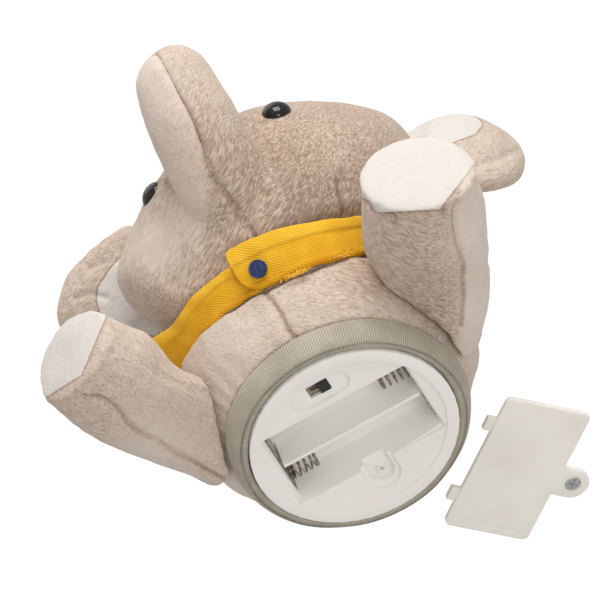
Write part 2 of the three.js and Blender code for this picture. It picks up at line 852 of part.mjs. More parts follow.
function switchBody() {
  const high = switchFace + switchBodyHeight;
  const body = block(0, 0, switchBodyLength, switchBodyWidth, switchFace, high);
  const slotLength = knobNeckLength + switchTravel + 2 * runGap;
  const slotWidth = knobNeckWidth + 2 * runGap;
  const slotHigh = switchFace + knobNeckDepth + runGap;
  return body.subtract(block(0, 0, slotLength, slotWidth, switchFace - overrun, slotHigh));
}

function switchKnob() {
  const capHigh = switchFace - runGap;
  const capLow = faceRecess + switchDishDepth - knobProud + boxWall;
  const cap = block(0, 0, knobLength, windowWidth - 2 * runGap, capLow, capHigh);
  return cap.add(block(0, 0, knobNeckLength, knobNeckWidth, capLow, switchFace + knobNeckDepth));
}

piece('switch_body', switchBody(), materials.nickel, base).position.set(switchSideways, -switchForward, 0);
const knob = piece('switch_knob', switchKnob(), materials.black, base);
knob.position.set(switchSideways + switchTravel / 2, -switchForward, 0);

// Wires inside the housing. Each ends a seat gap from what it is soldered to.
function wire(name, points, material) {
  piece(name, cordSolid(points, wireRadius, wireSteps), material, base);
}

const wireLift = boardTop + seatGap;
const tailEnd = boxTop + contactTailRise + seatGap;
const boardEdge = boardLength / 2;
const wireBow = 4; // how far a wire bows out between its ends
for (const [name, , y] of singleContacts()) {
  const inward = boardEdge - wireBow / 2;
  const points = [
    point(contactX, y, tailEnd),
    point(contactX, y, tailEnd + wireBow / 2),
    point((contactX + inward) / 2, y, wireLift + wireBow),
    point(inward, y, wireLift + wireBow / 2),
    point(inward, y, wireLift),
  ];
  wire(`${name}_battery_wire`, points, name === 'front' ? materials.redWire : materials.black);
}

[-1, 1].forEach((side, number) => {
  const x = switchSideways + (side * switchBodyLength) / 4;
  const startZ = switchFace + switchBodyHeight + seatGap;
  const boardX = x - wireBow;
  const edgeY = -boxForward - boardWidth / 2;
  const points = [
    point(x, -switchForward, startZ),
    point(x, -switchForward, startZ + wireBow),
    point(x, edgeY - wireBow * 1.5, wireLift),
    point(boardX, edgeY - wireBow / 4, wireLift + wireBow),
    point(boardX, edgeY + wireBow / 2, wireLift + wireBow / 2),
    point(boardX, edgeY + wireBow / 2, wireLift),
  ];
  wire(`switch_wire_${number + 1}`, points, materials.black);
});

[-1, 1].forEach((side, number) => {
  const x = -boardEdge + wireBow;
  const y = -boxForward + side * wireBow * 1.5;
  const topZ = flangeTop - speakerFlangeWall - seatGap;
  const outX = speakerFlange / 2 - speakerRadius;
  const points = [
    point(x, y, wireLift),
    point(x, y, wireLift + wireBow / 2),
    point(x - wireBow * 1.5, y, wireLift + wireBow * 1.5),
    point(outX - wireBow / 2, y / 2, topZ - wireBow * 1.5),
    point(outX, y / 2, topZ - wireBow / 4),
    point(outX, y / 2, topZ),
  ];
  wire(`speaker_wire_${number + 1}`, points, number ? materials.black : materials.redWire);
});

// Battery door on the floor, outer face down, with the ear away from the base.
const doorGroup = new THREE.Group();
const doorReach = knitInnerRadius + knitWidth + doorClear + tabReach + doorWidth / 2;
doorGroup.position.set(doorReach * Math.cos(doorAway), doorReach * Math.sin(doorAway), 0);
doorGroup.rotation.z = doorAway - Math.PI / 2;
elephant.add(doorGroup);

function doorSolid() {
  const edge = doorWidth / 2;
  const screwY = edge + earReach;
  let door = prism(roundedShape(doorLength, doorWidth, doorCorner), 0, doorThickness);
  door = door.add(tongue(earRadius, -earSideways, edge - earReach, screwY, 0, doorThickness));
  for (const side of [-1, 1]) {
    const y = -edge + (tabWidth - tabReach) / 2;
    const tab = block((side * tabSpread) / 2, y, tabWidth, tabReach + tabWidth, doorThickness / 2,
      doorThickness + tabThickness);
    door = door.add(tab);
  }
  const sinkHigh = screwHeadSink + screwHeadHeight + runGap;
  door = door.subtract(drum(screwHeadRadius + runGap, -overrun, sinkHigh, smallSides, -earSideways, screwY));
  const holeHigh = doorThickness + overrun;
  door = door.subtract(drum(screwRadius + runGap, 0, holeHigh, smallSides, -earSideways, screwY));
  const markX = doorMarkInset - doorLength / 2;
  const markY = edge / 2;
  return door.subtract(block(markX, markY, doorMarkWidth, doorMarkLength, -overrun, doorMarkDepth));
}

piece('battery_door', doorSolid(), materials.door, doorGroup);

// Door screw, held in the ear, head down and point up.
function doorScrewSolid() {
  const headTop = screwHeadSink + screwHeadHeight;
  const pointFoot = screwLength - screwPointLength;
  let screw = drum(screwHeadRadius, screwHeadSink, headTop, smallSides);
  screw = screw.add(drum(screwRadius, screwHeadSink + screwHeadHeight / 2, pointFoot, smallSides));
  screw = screw.add(taper(screwRadius, screwRadius / 4, pointFoot, screwLength, smallSides));
  const cross = block(0, 0, crossLength, crossWidth, -overrun, screwHeadSink + crossDepth).add(
    block(0, 0, crossWidth, crossLength, -overrun, screwHeadSink + crossDepth)
  );
  return screw.subtract(cross);
}

const doorScrew = piece('door_screw', doorScrewSolid(), materials.steel, doorGroup);
doorScrew.position.set(-earSideways, doorWidth / 2 + earReach, 0);

// Knit ring, a soft roll round the rim, whose underside rises away from the floor.
const knitProfile = knitShares.map(([out, up]) => [knitInnerRadius + out * knitWidth, knitRise + up * knitHeight]);
knitProfile.push(knitProfile[0]);
piece('knit_ring', turned(knitProfile, largeSides), materials.knit, elephant);

// Head, in its own turned group.
const headGroup = new THREE.Group();
headGroup.position.set(headSideways, -headForward, headRise);
headGroup.rotation.z = headTurn;
headGroup.updateMatrix();
elephant.add(headGroup);

function headForm(grow) {
  const geometry = new THREE.SphereGeometry(1, plushSides, headRows);
  geometry.rotateX(Math.PI / 2);
  geometry.scale(headHalfWidth + grow, headHalfDepth + grow, headHalfHeight + grow);
  return geometry;
}

// The depth of the head's surface in front of its middle, at a place across and up.
function faceForward(x, z) {
  const rest = 1 - (x / headHalfWidth) ** 2 - (z / headHalfHeight) ** 2;
  return headHalfDepth * Math.sqrt(Math.max(rest, 0));
}

// Collar: a leaning band round the tilted neck, with an overlapping end at the front.
const collarMatrix = new THREE.Matrix4()
  .makeTranslation(collarSideways, -collarForward, collarRise)
  .multiply(new THREE.Matrix4().makeRotationX(collarTilt))
  .multiply(new THREE.Matrix4().makeRotationY(collarRoll));

// A strip round the neck between two angles, from the front, that stands out by a distance.
function strip(start, end, steps, out, height, thickness, round) {
  const rings = [];
  for (let step = 0; step <= steps; step += 1) {
    const share = step / steps;
    const angle = start + (end - start) * share;
    const along = Math.abs(end - start) * collarHalfWidth * share;
    const half = height / 2;
    const inset = round && along < half ? half - Math.sqrt(half * half - (half - along) ** 2) : 0;
    const ring = [];
    for (const [up, side] of [[-1, 0], [1, 0], [1, 1], [-1, 1]]) {
      const z = up * (half - inset);
      const lean = (collarLean * z) + out + side * thickness;
      const x = (collarHalfWidth + lean) * Math.sin(angle);
      const y = -(collarHalfDepth + lean) * Math.cos(angle);
      ring.push(point(x, y, z));
    }
    rings.push(ring);
  }
  return rings;
}

function bandSolid(out, height, thickness) {
  const rings = strip(0, 2 * Math.PI, collarSides, out, height, thickness, false);
  const positions = [];
  const index = [];
  for (const ring of rings.slice(0, collarSides)) {
    for (const corner of ring) positions.push(corner.x, corner.y, corner.z);
  }
  for (let step = 0; step < collarSides; step += 1) {
    for (let corner = 0; corner < 4; corner += 1) {
      const [a, b] = [step * 4 + corner, step * 4 + ((corner + 1) % 4)];
      const [c, d] = [((step + 1) % collarSides) * 4 + ((corner + 1) % 4), ((step + 1) % collarSides) * 4 + corner];
      index.push(a, b, c, a, c, d);
    }
  }
  const geometry = new THREE.BufferGeometry();
  geometry.setAttribute('position', new THREE.Float32BufferAttribute(positions, 3));
  geometry.setIndex(index);
  geometry.applyMatrix4(collarMatrix);
  return outward(geometry);
}

const flapLift = collarThickness + snapHeight;

// The overlapping end lies on the band and grows out of it, so the collar is one strip.
function flapSolid(clear) {
  const height = flapHeight + 2 * clear;
  const rings = strip(flapStart, flapStart + flapArc, flapSteps, 0, height, 0, true);
  const shaped = rings.map((ring, step) => {
    const share = step / flapSteps;
    const rise = flapLift * (1 - share) + (collarThickness / 2) * share;
    const narrow = 1 + (collarHeight / flapHeight - 1) * share;
    return ring.map((corner, number) => {
      const outer = number > 1 ? collarThickness + clear : -clear;
      const away = point(corner.x, corner.y, 0).normalize();
      const moved = corner.clone().addScaledVector(away, rise + outer);
      return moved.setZ(corner.z * narrow);
    });
  });
  const flat = shaped.map((ring) => ring.map((corner) => corner.clone().applyMatrix4(collarMatrix)));
  return skin(flat);
}

const collar = bandSolid(0, collarHeight, collarThickness).add(flapSolid(0));
piece('collar', collar, materials.twill, elephant);

// Snap cap, flat on the leaning face of the overlapping end.
const snapAngle = flapStart + snapInset / collarHalfWidth;
const snapOut = flapLift + collarThickness + seatGap - collarLean * snapDrop;
const snapGroup = new THREE.Group();
snapGroup.position.set(
  (collarHalfWidth + snapOut) * Math.sin(snapAngle),
  -(collarHalfDepth + snapOut) * Math.cos(snapAngle),
  -snapDrop
);
const snapFacing = point(Math.sin(snapAngle), -Math.cos(snapAngle), -collarLean).normalize();
snapGroup.quaternion.setFromUnitVectors(axisZ, snapFacing);
snapGroup.updateMatrix();
snapGroup.matrix.premultiply(collarMatrix);
snapGroup.matrix.decompose(snapGroup.position, snapGroup.quaternion, snapGroup.scale);
elephant.add(snapGroup);
snapGroup.updateWorldMatrix(true, false);
piece('snap_cap', dome(snapRadius, snapHeight, 3, smallSides), materials.navy, snapGroup);

// The room that the collar, its flap and the snap take out of the head and the body.
const snapRoom = drum(snapRadius + collarGrooveClear, 0, snapHeight + collarGrooveClear, smallSides);
const bandGroove = bandSolid(-collarGrooveClear, collarHeight + 2 * collarGrooveClear, 4 * collarThickness)
  .add(flapSolid(collarGrooveClear))
  .add(placed(snapRoom, snapGroup.matrixWorld));

// The same solid moved by a matrix.
function placed(solid, matrix) {
  return solidOf(geometryOf(solid).applyMatrix4(matrix));
}

const headWhole = solidOf(headForm(0));
const headClear = placed(solidOf(headForm(seatGap)), headGroup.matrix);
const toHead = headGroup.matrix.clone().invert();

// Body: a stuffed form round the housing cup, cut by the head and the collar.
function bodyForm(grow) {
  const rings = [];
  for (let row = 0; row <= bodyRows; row += 1) {
    const [up, wide, deep, shift] = smoothRow(bodyShares, row / bodyRows);
    const middle = point(0, -shift * bodyHalfDepth, bodyFoot + up * bodyHeight);
    const across = point(Math.max(wide, 0) * bodyHalfWidth + grow, 0, 0);
    const along = point(0, Math.max(deep, 0) * bodyHalfDepth + grow, 0);
    rings.push(oval(middle, across, along, plushSides));
  }
  return skin(rings);
}

const pocket = drum(cupRadius + pocketClear, 0, cupTop + pocketClear, middleSides);
const body = bodyForm(0).subtract(headClear).subtract(pocket).subtract(bandGroove);
piece('body', body, materials.plush, elephant);

// A stuffed tube round a line, with its radius given along it, and a round far end if it has cap rows.
function stuffedTube(line, radiusAt, rows, capRows, sides) {
  const rings = [];
  const lift = axisZ;
  for (let row = 0; row <= rows; row += 1) {
    const share = row / rows;
    const along = line.getTangentAt(share);
    const side = along.clone().cross(lift).normalize();
    const up = side.clone().cross(along);
    const radius = radiusAt(share);
    rings.push(oval(line.getPointAt(share), side.multiplyScalar(radius), up.multiplyScalar(radius), sides));
  }
  const along = line.getTangentAt(1);
  const side = along.clone().cross(lift).normalize();
  const up = side.clone().cross(along);
  for (let row = 1; row <= capRows; row += 1) {
    const angle = (Math.PI / 2) * (row / capRows);
    const radius = radiusAt(1) * Math.cos(angle);
    const middle = line.getPointAt(1).addScaledVector(along, radiusAt(1) * Math.sin(angle));
    const [wide, tall] = [side.clone().multiplyScalar(radius), up.clone().multiplyScalar(radius)];
    rings.push(oval(middle, wide, tall, sides));
  }
  return skin(rings);
}

// Legs: each bends outward from the hip to a round sole.
const bodyClear = bodyForm(seatGap);
const collarRoom = bandSolid(
  -2 * legCollarClear,
  collarHeight + 2 * legCollarClear,
  2 * legCollarClear + collarThickness * 4
);
const ringClear = drum(knitInnerRadius + knitWidth + seatGap, -overrun, knitTop + seatGap, middleSides);

function legSolid(line) {
  const radiusAt = (share) => smoothRow(legRadiusShares, share)[0] * legRadius;
  const leg = stuffedTube(line, radiusAt, legRows, 0, limbSides);
  return leg.subtract(bodyClear).subtract(ringClear).subtract(headClear).subtract(collarRoom);
}

// Sole: a round pad that swells in the middle.
function soleSolid() {
  const rings = [];
  for (let row = 0; row <= soleRows; row += 1) {
    const angle = (Math.PI / 2) * (row / soleRows);
    const reach = soleRadius * Math.cos(angle);
    const middle = point(0, 0, soleThickness + soleCrown * Math.sin(angle));
    if (row === 0) rings.push(oval(point(0, 0, 0), point(reach, 0, 0), point(0, reach, 0), limbSides));
    rings.push(oval(middle, point(reach, 0, 0), point(0, reach, 0), limbSides));
  }
  return skin(rings);
}

for (const [name, places] of [['left', leftLegShares], ['right', rightLegShares]]) {
  const [hip, knee, end] = places.map(([aside, ahead, up]) =>
    point(aside, -ahead, up).multiplyScalar(legReach)
  );
  piece(`${name}_leg`, legSolid(new THREE.QuadraticBezierCurve3(hip, knee, end)), materials.plush, elephant);
  const facing = end.clone().sub(knee).normalize();
  const sole = piece(`${name}_sole`, soleSolid(), materials.whitePlush, elephant);
  sole.position.copy(end.addScaledVector(facing, seatGap));
  sole.quaternion.setFromUnitVectors(axisZ, facing);
}

// Trunk: curves up from the face and ends round, cut by the head.
const trunkPoints = trunkLineShares.map(([aside, ahead, up]) =>
  point(aside, -ahead, up).multiplyScalar(trunkReach)
);
const trunkLine = new THREE.CatmullRomCurve3(trunkPoints);
const trunkRadiusAt = (share) => smoothRow(trunkRadiusShares, share)[0] * trunkRadius;
const trunkWhole = stuffedTube(trunkLine, trunkRadiusAt, trunkRows, trunkCapRows, limbSides);
const headGrown = solidOf(headForm(seatGap));
const grooveInHead = placed(bandGroove, toHead);
const trunk = trunkWhole.subtract(headGrown).subtract(grooveInHead);
piece('trunk', trunk, materials.plush, headGroup);

// Eyes: a glossy dome with a shank through the face, held by a washer on its inner side.
function eyeSolid() {
  const shank = drum(eyeShankRadius, -eyeShankLength, eyeDomeHeight / 2, smallSides);
  return dome(eyeRadius, eyeDomeHeight, domeRows, smallSides * 1.5).add(shank);
}

function washerSolid() {
  const ring = drum(washerRadius, -washerDepth - washerThickness, -washerDepth, smallSides);
  const hole = drum(eyeShankRadius + runGap, -washerDepth * 2, 0, smallSides);
  return ring.subtract(hole);
}

function eyeRoom() {
  const seat = drum(eyeRadius + seatGap, -seatGap, eyeDomeHeight, smallSides * 1.5);
  const shank = drum(eyeShankRadius + runGap, -eyeShankLength - seatGap, 0, smallSides);
  const low = -washerDepth - washerThickness - seatGap;
  const room = drum(washerRadius + seatGap, low, seatGap - washerDepth, smallSides);
  return seat.add(shank).add(room);
}

let head = headWhole.subtract(grooveInHead).subtract(placed(pocket, toHead));
for (const [name, side] of [['left', 1], ['right', -1]]) {
  const x = side * eyeSideways;
  const surface = point(x, -faceForward(x, eyeRise), eyeRise);
  const facing = point(surface.x / headHalfWidth ** 2, surface.y / headHalfDepth ** 2,
    surface.z / headHalfHeight ** 2).normalize();
  const eyeGroup = new THREE.Group();
  eyeGroup.position.copy(surface.clone().addScaledVector(facing, -eyeSink));
  eyeGroup.quaternion.setFromUnitVectors(axisZ, facing);
  eyeGroup.updateMatrix();
  headGroup.add(eyeGroup);
  piece(`${name}_eye`, eyeSolid(), materials.eye, eyeGroup);
  piece(`${name}_eye_washer`, washerSolid(), materials.washer, eyeGroup);
  head = head.subtract(placed(eyeRoom(), eyeGroup.matrix));
}

// Ears: flat padded forms that stand out from a hinge line on the head, with a white lining in front.
// In the ear's own frame +X is out, +Z is along the hinge line and -Y is the front face.
function earForm(grow) {
  const rootHalf = earShares[0][2] * earHalfThickness;
  const rings = [];
  for (let row = earRootRows; row > 0; row -= 1) {
    const angle = (Math.PI / 2) * (row / (earRootRows + 1));
    const half = rootHalf * Math.cos(angle) + grow;
    const tall = earShares[0][1] * earHalfHeight + grow;
    rings.push(oval(point(-rootHalf * Math.sin(angle) - grow, 0, 0), point(0, half, 0), point(0, 0, tall),
      limbSides));
  }
  for (let row = 0; row <= earRows; row += 1) {
    const [out, tall, thick] = smoothRow(earShares, row / earRows);
    const middle = point(out * earLength, 0, 0);
    const across = point(0, Math.max(thick, 0) * earHalfThickness + grow, 0);
    const along = point(0, 0, Math.max(tall, 0) * earHalfHeight + grow);
    rings.push(oval(middle, across, along, limbSides));
  }
  return skin(rings);
}

function liningBlank(side, grow) {
  const patch = new THREE.CylinderGeometry(1, 1, earHalfThickness * 2, limbSides);
  patch.scale(liningLength / 2 + grow, 1, liningHeight / 2 + grow);
  patch.translate(liningOut, -side * earHalfThickness, 0);
  return earForm(seatGap + liningThickness + grow).intersect(solidOf(patch));
}

for (const [name, side, swing, droop, roll] of earPoses) {
  const [back, rise] = earRootShares[name];
  const aside = side * Math.sqrt(1 - back ** 2 - rise ** 2);
  const surface = point(aside * headHalfWidth, back * headHalfDepth, rise * headHalfHeight);
  const facing = point(surface.x / headHalfWidth ** 2, surface.y / headHalfDepth ** 2,
    surface.z / headHalfHeight ** 2).normalize();
  const out = point(side * Math.cos(swing), Math.sin(swing), 0).multiplyScalar(Math.cos(droop));
  out.z = -Math.sin(droop);
  const hinge = axisZ.clone().addScaledVector(out, -out.z).normalize();
  hinge.applyAxisAngle(out, -side * roll);
  const earGroup = new THREE.Group();
  earGroup.matrix.makeBasis(out, hinge.clone().cross(out), hinge);
  earGroup.matrix.setPosition(surface.addScaledVector(facing, earRootLift));
  earGroup.matrix.decompose(earGroup.position, earGroup.quaternion, earGroup.scale);
  headGroup.add(earGroup);
  piece(`${name}_ear`, earForm(0), materials.plush, earGroup);
  piece(`${name}_ear_lining`, liningBlank(side, 0).subtract(earForm(seatGap)), materials.whitePlush, earGroup);
  for (let step = -earSwingSteps; step <= earSwingSteps; step += 1) {
    const turn = new THREE.Matrix4().makeRotationZ((earSwing * step) / earSwingSteps);
    const room = earForm(seatGap).add(liningBlank(side, seatGap));
    head = head.subtract(placed(room, earGroup.matrix.clone().multiply(turn)));
  }
}
piece('head', head, materials.plush, headGroup);

const middle = new THREE.Box3().setFromObject(elephant, true).getCenter(new THREE.Vector3());
elephant.position.set(-middle.x, -middle.y, 0);

export default elephant;
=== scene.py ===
"""Looks of the musical plush elephant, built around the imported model. Lengths are in metres."""

import json
import math
from contextlib import contextmanager

import bmesh
import bpy
import numpy as np
from mathutils import Matrix, Vector
from mathutils.bvhtree import BVHTree


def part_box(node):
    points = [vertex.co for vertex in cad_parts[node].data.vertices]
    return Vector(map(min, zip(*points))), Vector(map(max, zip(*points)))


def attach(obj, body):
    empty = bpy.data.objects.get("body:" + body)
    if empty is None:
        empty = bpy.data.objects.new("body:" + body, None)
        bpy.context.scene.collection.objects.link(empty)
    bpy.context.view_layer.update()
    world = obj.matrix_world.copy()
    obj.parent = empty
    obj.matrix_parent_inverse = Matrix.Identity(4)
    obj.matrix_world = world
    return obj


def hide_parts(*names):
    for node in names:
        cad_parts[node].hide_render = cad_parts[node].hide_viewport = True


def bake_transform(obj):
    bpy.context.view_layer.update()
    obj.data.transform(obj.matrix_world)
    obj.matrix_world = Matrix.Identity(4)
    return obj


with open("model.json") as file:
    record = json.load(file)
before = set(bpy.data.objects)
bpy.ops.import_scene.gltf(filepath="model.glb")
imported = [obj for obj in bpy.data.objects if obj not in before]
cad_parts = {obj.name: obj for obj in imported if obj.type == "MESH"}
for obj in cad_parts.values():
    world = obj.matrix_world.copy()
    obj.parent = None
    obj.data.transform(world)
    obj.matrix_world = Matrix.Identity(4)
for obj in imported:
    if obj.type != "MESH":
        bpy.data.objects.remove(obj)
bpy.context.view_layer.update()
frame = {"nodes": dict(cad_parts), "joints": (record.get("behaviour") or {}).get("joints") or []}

# Floor, light and camera. The photograph looks up at the underside of the toy, so the camera is below
# the floor. The floor shows only from above, and it casts no shadow on what it carries.
MM = 0.001
scene = bpy.context.scene
plate_low, plate_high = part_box("base_plate")
base_middle = Vector(((plate_low.x + plate_high.x) / 2, (plate_low.y + plate_high.y) / 2, 0))
camera_right = Vector((0.8750, 0.4229, -0.2356)).normalized()
camera_back = Vector((0.1006, -0.6349, -0.7660)).normalized()
camera_up = camera_back.cross(camera_right).normalized()
camera_right = camera_up.cross(camera_back)
camera_away = 3.2
film_width = 36.0
pixels = 600
pixels_per_metre = 2700
view_middle = base_middle - 20.4 * MM * camera_right + 51.0 * MM * camera_up


def facing(right, up, back):
    """The turn whose columns are these three directions."""
    return Matrix((right, up, back)).transposed()


def linked(name, data):
    """A new object in the scene."""
    thing = bpy.data.objects.new(name, data)
    scene.collection.objects.link(thing)
    return thing


def aimed(name, data, place, right, up, back):
    """A camera or a light at a place, looking against its back direction."""
    thing = linked(name, data)
    thing.matrix_world = Matrix.Translation(place) @ facing(right, up, back).to_4x4()
    return thing


lens = bpy.data.cameras.new("camera")
lens.sensor_width = film_width
lens.lens = pixels_per_metre * film_width * camera_away / pixels
lens.clip_end = 20
scene.camera = aimed("camera", lens, view_middle + camera_away * camera_back, camera_right, camera_up,
                     camera_back)
scene.view_settings.view_transform = "Standard"
warm_white = (1.0, 0.975, 0.95)
sky_power = 0.62
backdrop_power = 1.05


def soft_light(name, direction, away, width, power):
    """A square lamp that faces the middle of the toy from a direction."""
    lamp = bpy.data.lights.new(name, "AREA")
    lamp.size = width
    lamp.energy = power
    lamp.color = warm_white
    back = Vector(direction).normalized()
    right = Vector((0, 0, 1)).cross(back).normalized()
    return aimed(name, lamp, view_middle + away * back, right, back.cross(right), back)


key_direction = 0.35 * camera_back + camera_up - 0.12 * camera_right
soft_light("key_light", key_direction, away=0.9, width=0.55, power=5.6)
soft_light("top_light", (-0.3, -0.4, 1), away=1.0, width=0.8, power=1.5)
soft_light("front_light", camera_back + 0.25 * camera_right, away=1.3, width=0.5, power=4.2)

world = bpy.data.worlds.new("studio")
scene.world = world
world.use_nodes = True
sky = world.node_tree.nodes
sky_light = sky["Background"]
sky_light.inputs["Color"].default_value = (*warm_white, 1)
sky_light.inputs["Strength"].default_value = sky_power
backdrop = sky.new("ShaderNodeBackground")
backdrop.inputs["Color"].default_value = (1, 1, 1, 1)
backdrop.inputs["Strength"].default_value = backdrop_power
ray = sky.new("ShaderNodeLightPath")
either = sky.new("ShaderNodeMixShader")
join = world.node_tree.links.new
join(ray.outputs["Is Camera Ray"], either.inputs["Fac"])
join(sky_light.outputs["Background"], either.inputs[1])
join(backdrop.outputs["Background"], either.inputs[2])
join(either.outputs["Shader"], sky["World Output"].inputs["Surface"])


class Strand:
    """The output of a shader node, so that shader maths reads as a Python expression."""

    def __init__(self, coat, socket):
        self.coat = coat
        self.socket = socket

    def __add__(self, other):
        return self.coat.maths("ADD", self, other)

    def __radd__(self, other):
        return self.coat.maths("ADD", other, self)

    def __sub__(self, other):
        return self.coat.maths("SUBTRACT", self, other)

    def __rsub__(self, other):
        return self.coat.maths("SUBTRACT", other, self)

    def __mul__(self, other):
        return self.coat.maths("MULTIPLY", self, other)

    def __rmul__(self, other):
        return self.coat.maths("MULTIPLY", other, self)


class Coat:
    """A material made of nodes, with its shader's constants given at the start."""

    def __init__(self, name, **constants):
        self.material = bpy.data.materials.new(name)
        self.material.use_nodes = True
        self.tree = self.material.node_tree
        self.shader = self.tree.nodes["Principled BSDF"]
        for key, value in constants.items():
            self.shader.inputs[key.replace("_", " ")].default_value = value
        self.place = self.node("ShaderNodeTexCoord", output="Object")

    def node(self, kind, settings=None, inputs=(), output=0):
        """Any node: its settings first, then the values or links of its sockets."""
        made = self.tree.nodes.new(kind)
        for name, value in (settings or {}).items():
            setattr(made, name, value)
        pairs = inputs.items() if isinstance(inputs, dict) else enumerate(inputs)
        for key, value in pairs:
            if isinstance(value, Strand):
                self.tree.links.new(value.socket, made.inputs[key])
            else:
                made.inputs[key].default_value = value
        return Strand(self, made.outputs[output])

    def maths(self, operation, *values):
        return self.node("ShaderNodeMath", {"operation": operation}, values)

    def moved(self, scale, turn=(0, 0, 0), place=None):
        """Coordinates turned and then stretched, in waves per metre."""
        turned = self.node("ShaderNodeMapping", None, {"Vector": place or self.place, "Rotation": turn})
        return self.node("ShaderNodeMapping", None, {"Vector": turned, "Scale": scale})

    def noise(self, scale, detail=2.0, place=None, roughness=0.5):
        return self.node("ShaderNodeTexNoise", None, {
            "Vector": place or self.place, "Scale": scale, "Detail": detail, "Roughness": roughness})

    def mark(self, name):
        """A number that the piece keeps for each of its points."""
        return self.node("ShaderNodeAttribute", {"attribute_name": name}, output="Fac")

    def ramp(self, factor, *stops):
        """Colours along a factor, each stop a position and three numbers."""
        strand = self.node("ShaderNodeValToRGB", None, [factor])
        elements = strand.socket.node.color_ramp.elements
        while len(elements) < len(stops):
            elements.new(0.5)
        for element, (position, colour) in zip(elements, stops):
            element.position = position
            element.color = (*colour, 1)
        return strand

    def grained(self, scale, detail, *stops):
        """Colours the coat along a noise, and returns the noise."""
        grain = self.noise(scale, detail)
        self.colour(self.ramp(grain, *stops))
        return grain

    def mixed(self, factor, first, second):
        """Two colours mixed, each a link or three numbers."""
        sides = [c if isinstance(c, Strand) else (*c, 1) for c in (first, second)]
        return self.node("ShaderNodeMix", {"data_type": "RGBA"}, {
            0: factor, 6: sides[0], 7: sides[1]}, output=2)

    def colour(self, strand):
        self.tree.links.new(strand.socket, self.shader.inputs["Base Color"])

    def roughness(self, strand):
        self.tree.links.new(strand.socket, self.shader.inputs["Roughness"])

    def bumped(self, height, distance, strength=1.0):
        bump = self.node("ShaderNodeBump", None, {
            "Strength": strength, "Distance": distance, "Height": height})
        self.tree.links.new(bump.socket, self.shader.inputs["Normal"])


def only(piece):
    """Leaves one piece selected and active, because an operator acts on all that is selected."""
    bpy.ops.object.select_all(action="DESELECT")
    piece.select_set(True)
    bpy.context.view_layer.objects.active = piece


def smoothed(piece):
    only(piece)
    bpy.ops.object.shade_smooth()
    return piece


@contextmanager
def editing(piece):
    """Edit mode on one piece, with its whole mesh selected."""
    only(piece)
    bpy.ops.object.mode_set(mode="EDIT")
    bpy.ops.mesh.select_all(action="SELECT")
    yield
    bpy.ops.object.mode_set(mode="OBJECT")


def dressed(piece, coat, body="toy"):
    """Gives a finished piece its material and the body that it rides on."""
    piece.data.materials.clear()
    piece.data.materials.append(coat.material)
    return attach(piece, body)


def painted(coat, *nodes):
    """Gives CAD nodes whose shape is right a better material."""
    for node in nodes:
        mesh = frame["nodes"][node].data
        mesh.materials.clear()
        mesh.materials.append(coat.material)


weld_reach = 0.01 * MM


def copied(name, *nodes, stands_for=None):
    """A new piece from the merged meshes of CAD nodes, which it stands for unless others are named."""
    bpy.ops.object.select_all(action="DESELECT")
    copies = [linked(name, frame["nodes"][node].data.copy()) for node in nodes]
    for copy in copies:
        copy.select_set(True)
    piece = copies[0]
    bpy.context.view_layer.objects.active = piece
    if len(copies) > 1:
        bpy.ops.object.join()
    piece.name = name
    bpy.ops.mesh.customdata_custom_splitnormals_clear()
    with editing(piece):
        bpy.ops.mesh.remove_doubles(threshold=weld_reach)
    piece.data.materials.clear()
    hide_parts(*(stands_for or nodes))
    return piece


def modified(piece, kind, **settings):
    """Adds one modifier and applies it."""
    only(piece)
    added = piece.modifiers.new(kind.lower(), kind)
    for name, value in settings.items():
        setattr(added, name, value)
    bpy.ops.object.modifier_apply(modifier=added.name)
    return piece


def eased(piece, width, segments=2, angle=35):
    """Rounds the sharp edges of a moulded or pressed piece and shades the rest smooth."""
    modified(piece, "BEVEL", width=width, segments=segments, limit_method="ANGLE",
             angle_limit=math.radians(angle), use_clamp_overlap=True)
    only(piece)
    bpy.ops.object.shade_smooth_by_angle(angle=math.radians(angle))
    return piece


# Sound unit inside the base: a moulded cup that holds the circuit board, the loudspeaker and the
# leads, closed from below by the base plate with four self-tapping screws.
cup_coat = Coat("cup_plastic", Roughness=0.5)
cup_coat.grained(90, 3, (0.35, (0.66, 0.64, 0.58)), (0.7, (0.72, 0.7, 0.64)))
cup_coat.bumped(cup_coat.noise(2600, 2), 0.02 * MM)
painted(cup_coat, "inner_housing")

steel_coat = Coat("zinc_plated_steel", Metallic=1.0)
steel_grain = steel_coat.grained(900, 3, (0.3, (0.42, 0.43, 0.44)), (0.75, (0.62, 0.63, 0.64)))
steel_coat.roughness(0.26 + 0.2 * steel_grain)
painted(steel_coat, "speaker_basket", *(f"housing_screw_{n}" for n in range(1, 5)),
        "board_screw_1", "board_screw_2")

board_coat = Coat("green_lacquered_board", Roughness=0.35)
traces = board_coat.ramp(board_coat.noise(420, 1), (0.52, (0, 0, 0)), (0.56, (1, 1, 1)))
board_coat.colour(board_coat.mixed(traces, (0.02, 0.12, 0.04), (0.04, 0.2, 0.07)))
painted(board_coat, "circuit_board")

black_coat = Coat("black_plastic")
black_grain = black_coat.grained(1500, 3, (0.3, (0.008, 0.008, 0.009)), (0.8, (0.02, 0.02, 0.022)))
black_coat.roughness(0.35 + 0.2 * black_grain)
painted(black_coat, "sound_chip", "capacitor", "switch_knob")

cone_coat = Coat("black_paper", Roughness=0.9)
cone_fibre = cone_coat.grained(1300, 4, (0.3, (0.015, 0.015, 0.016)), (0.7, (0.045, 0.043, 0.042)))
cone_coat.bumped(cone_fibre, 0.05 * MM)
painted(cone_coat, "speaker_cone")

magnet_coat = Coat("ferrite", Roughness=0.55)
magnet_coat.grained(700, 3, (0.3, (0.03, 0.03, 0.032)), (0.8, (0.07, 0.07, 0.072)))
painted(magnet_coat, "speaker_magnet")

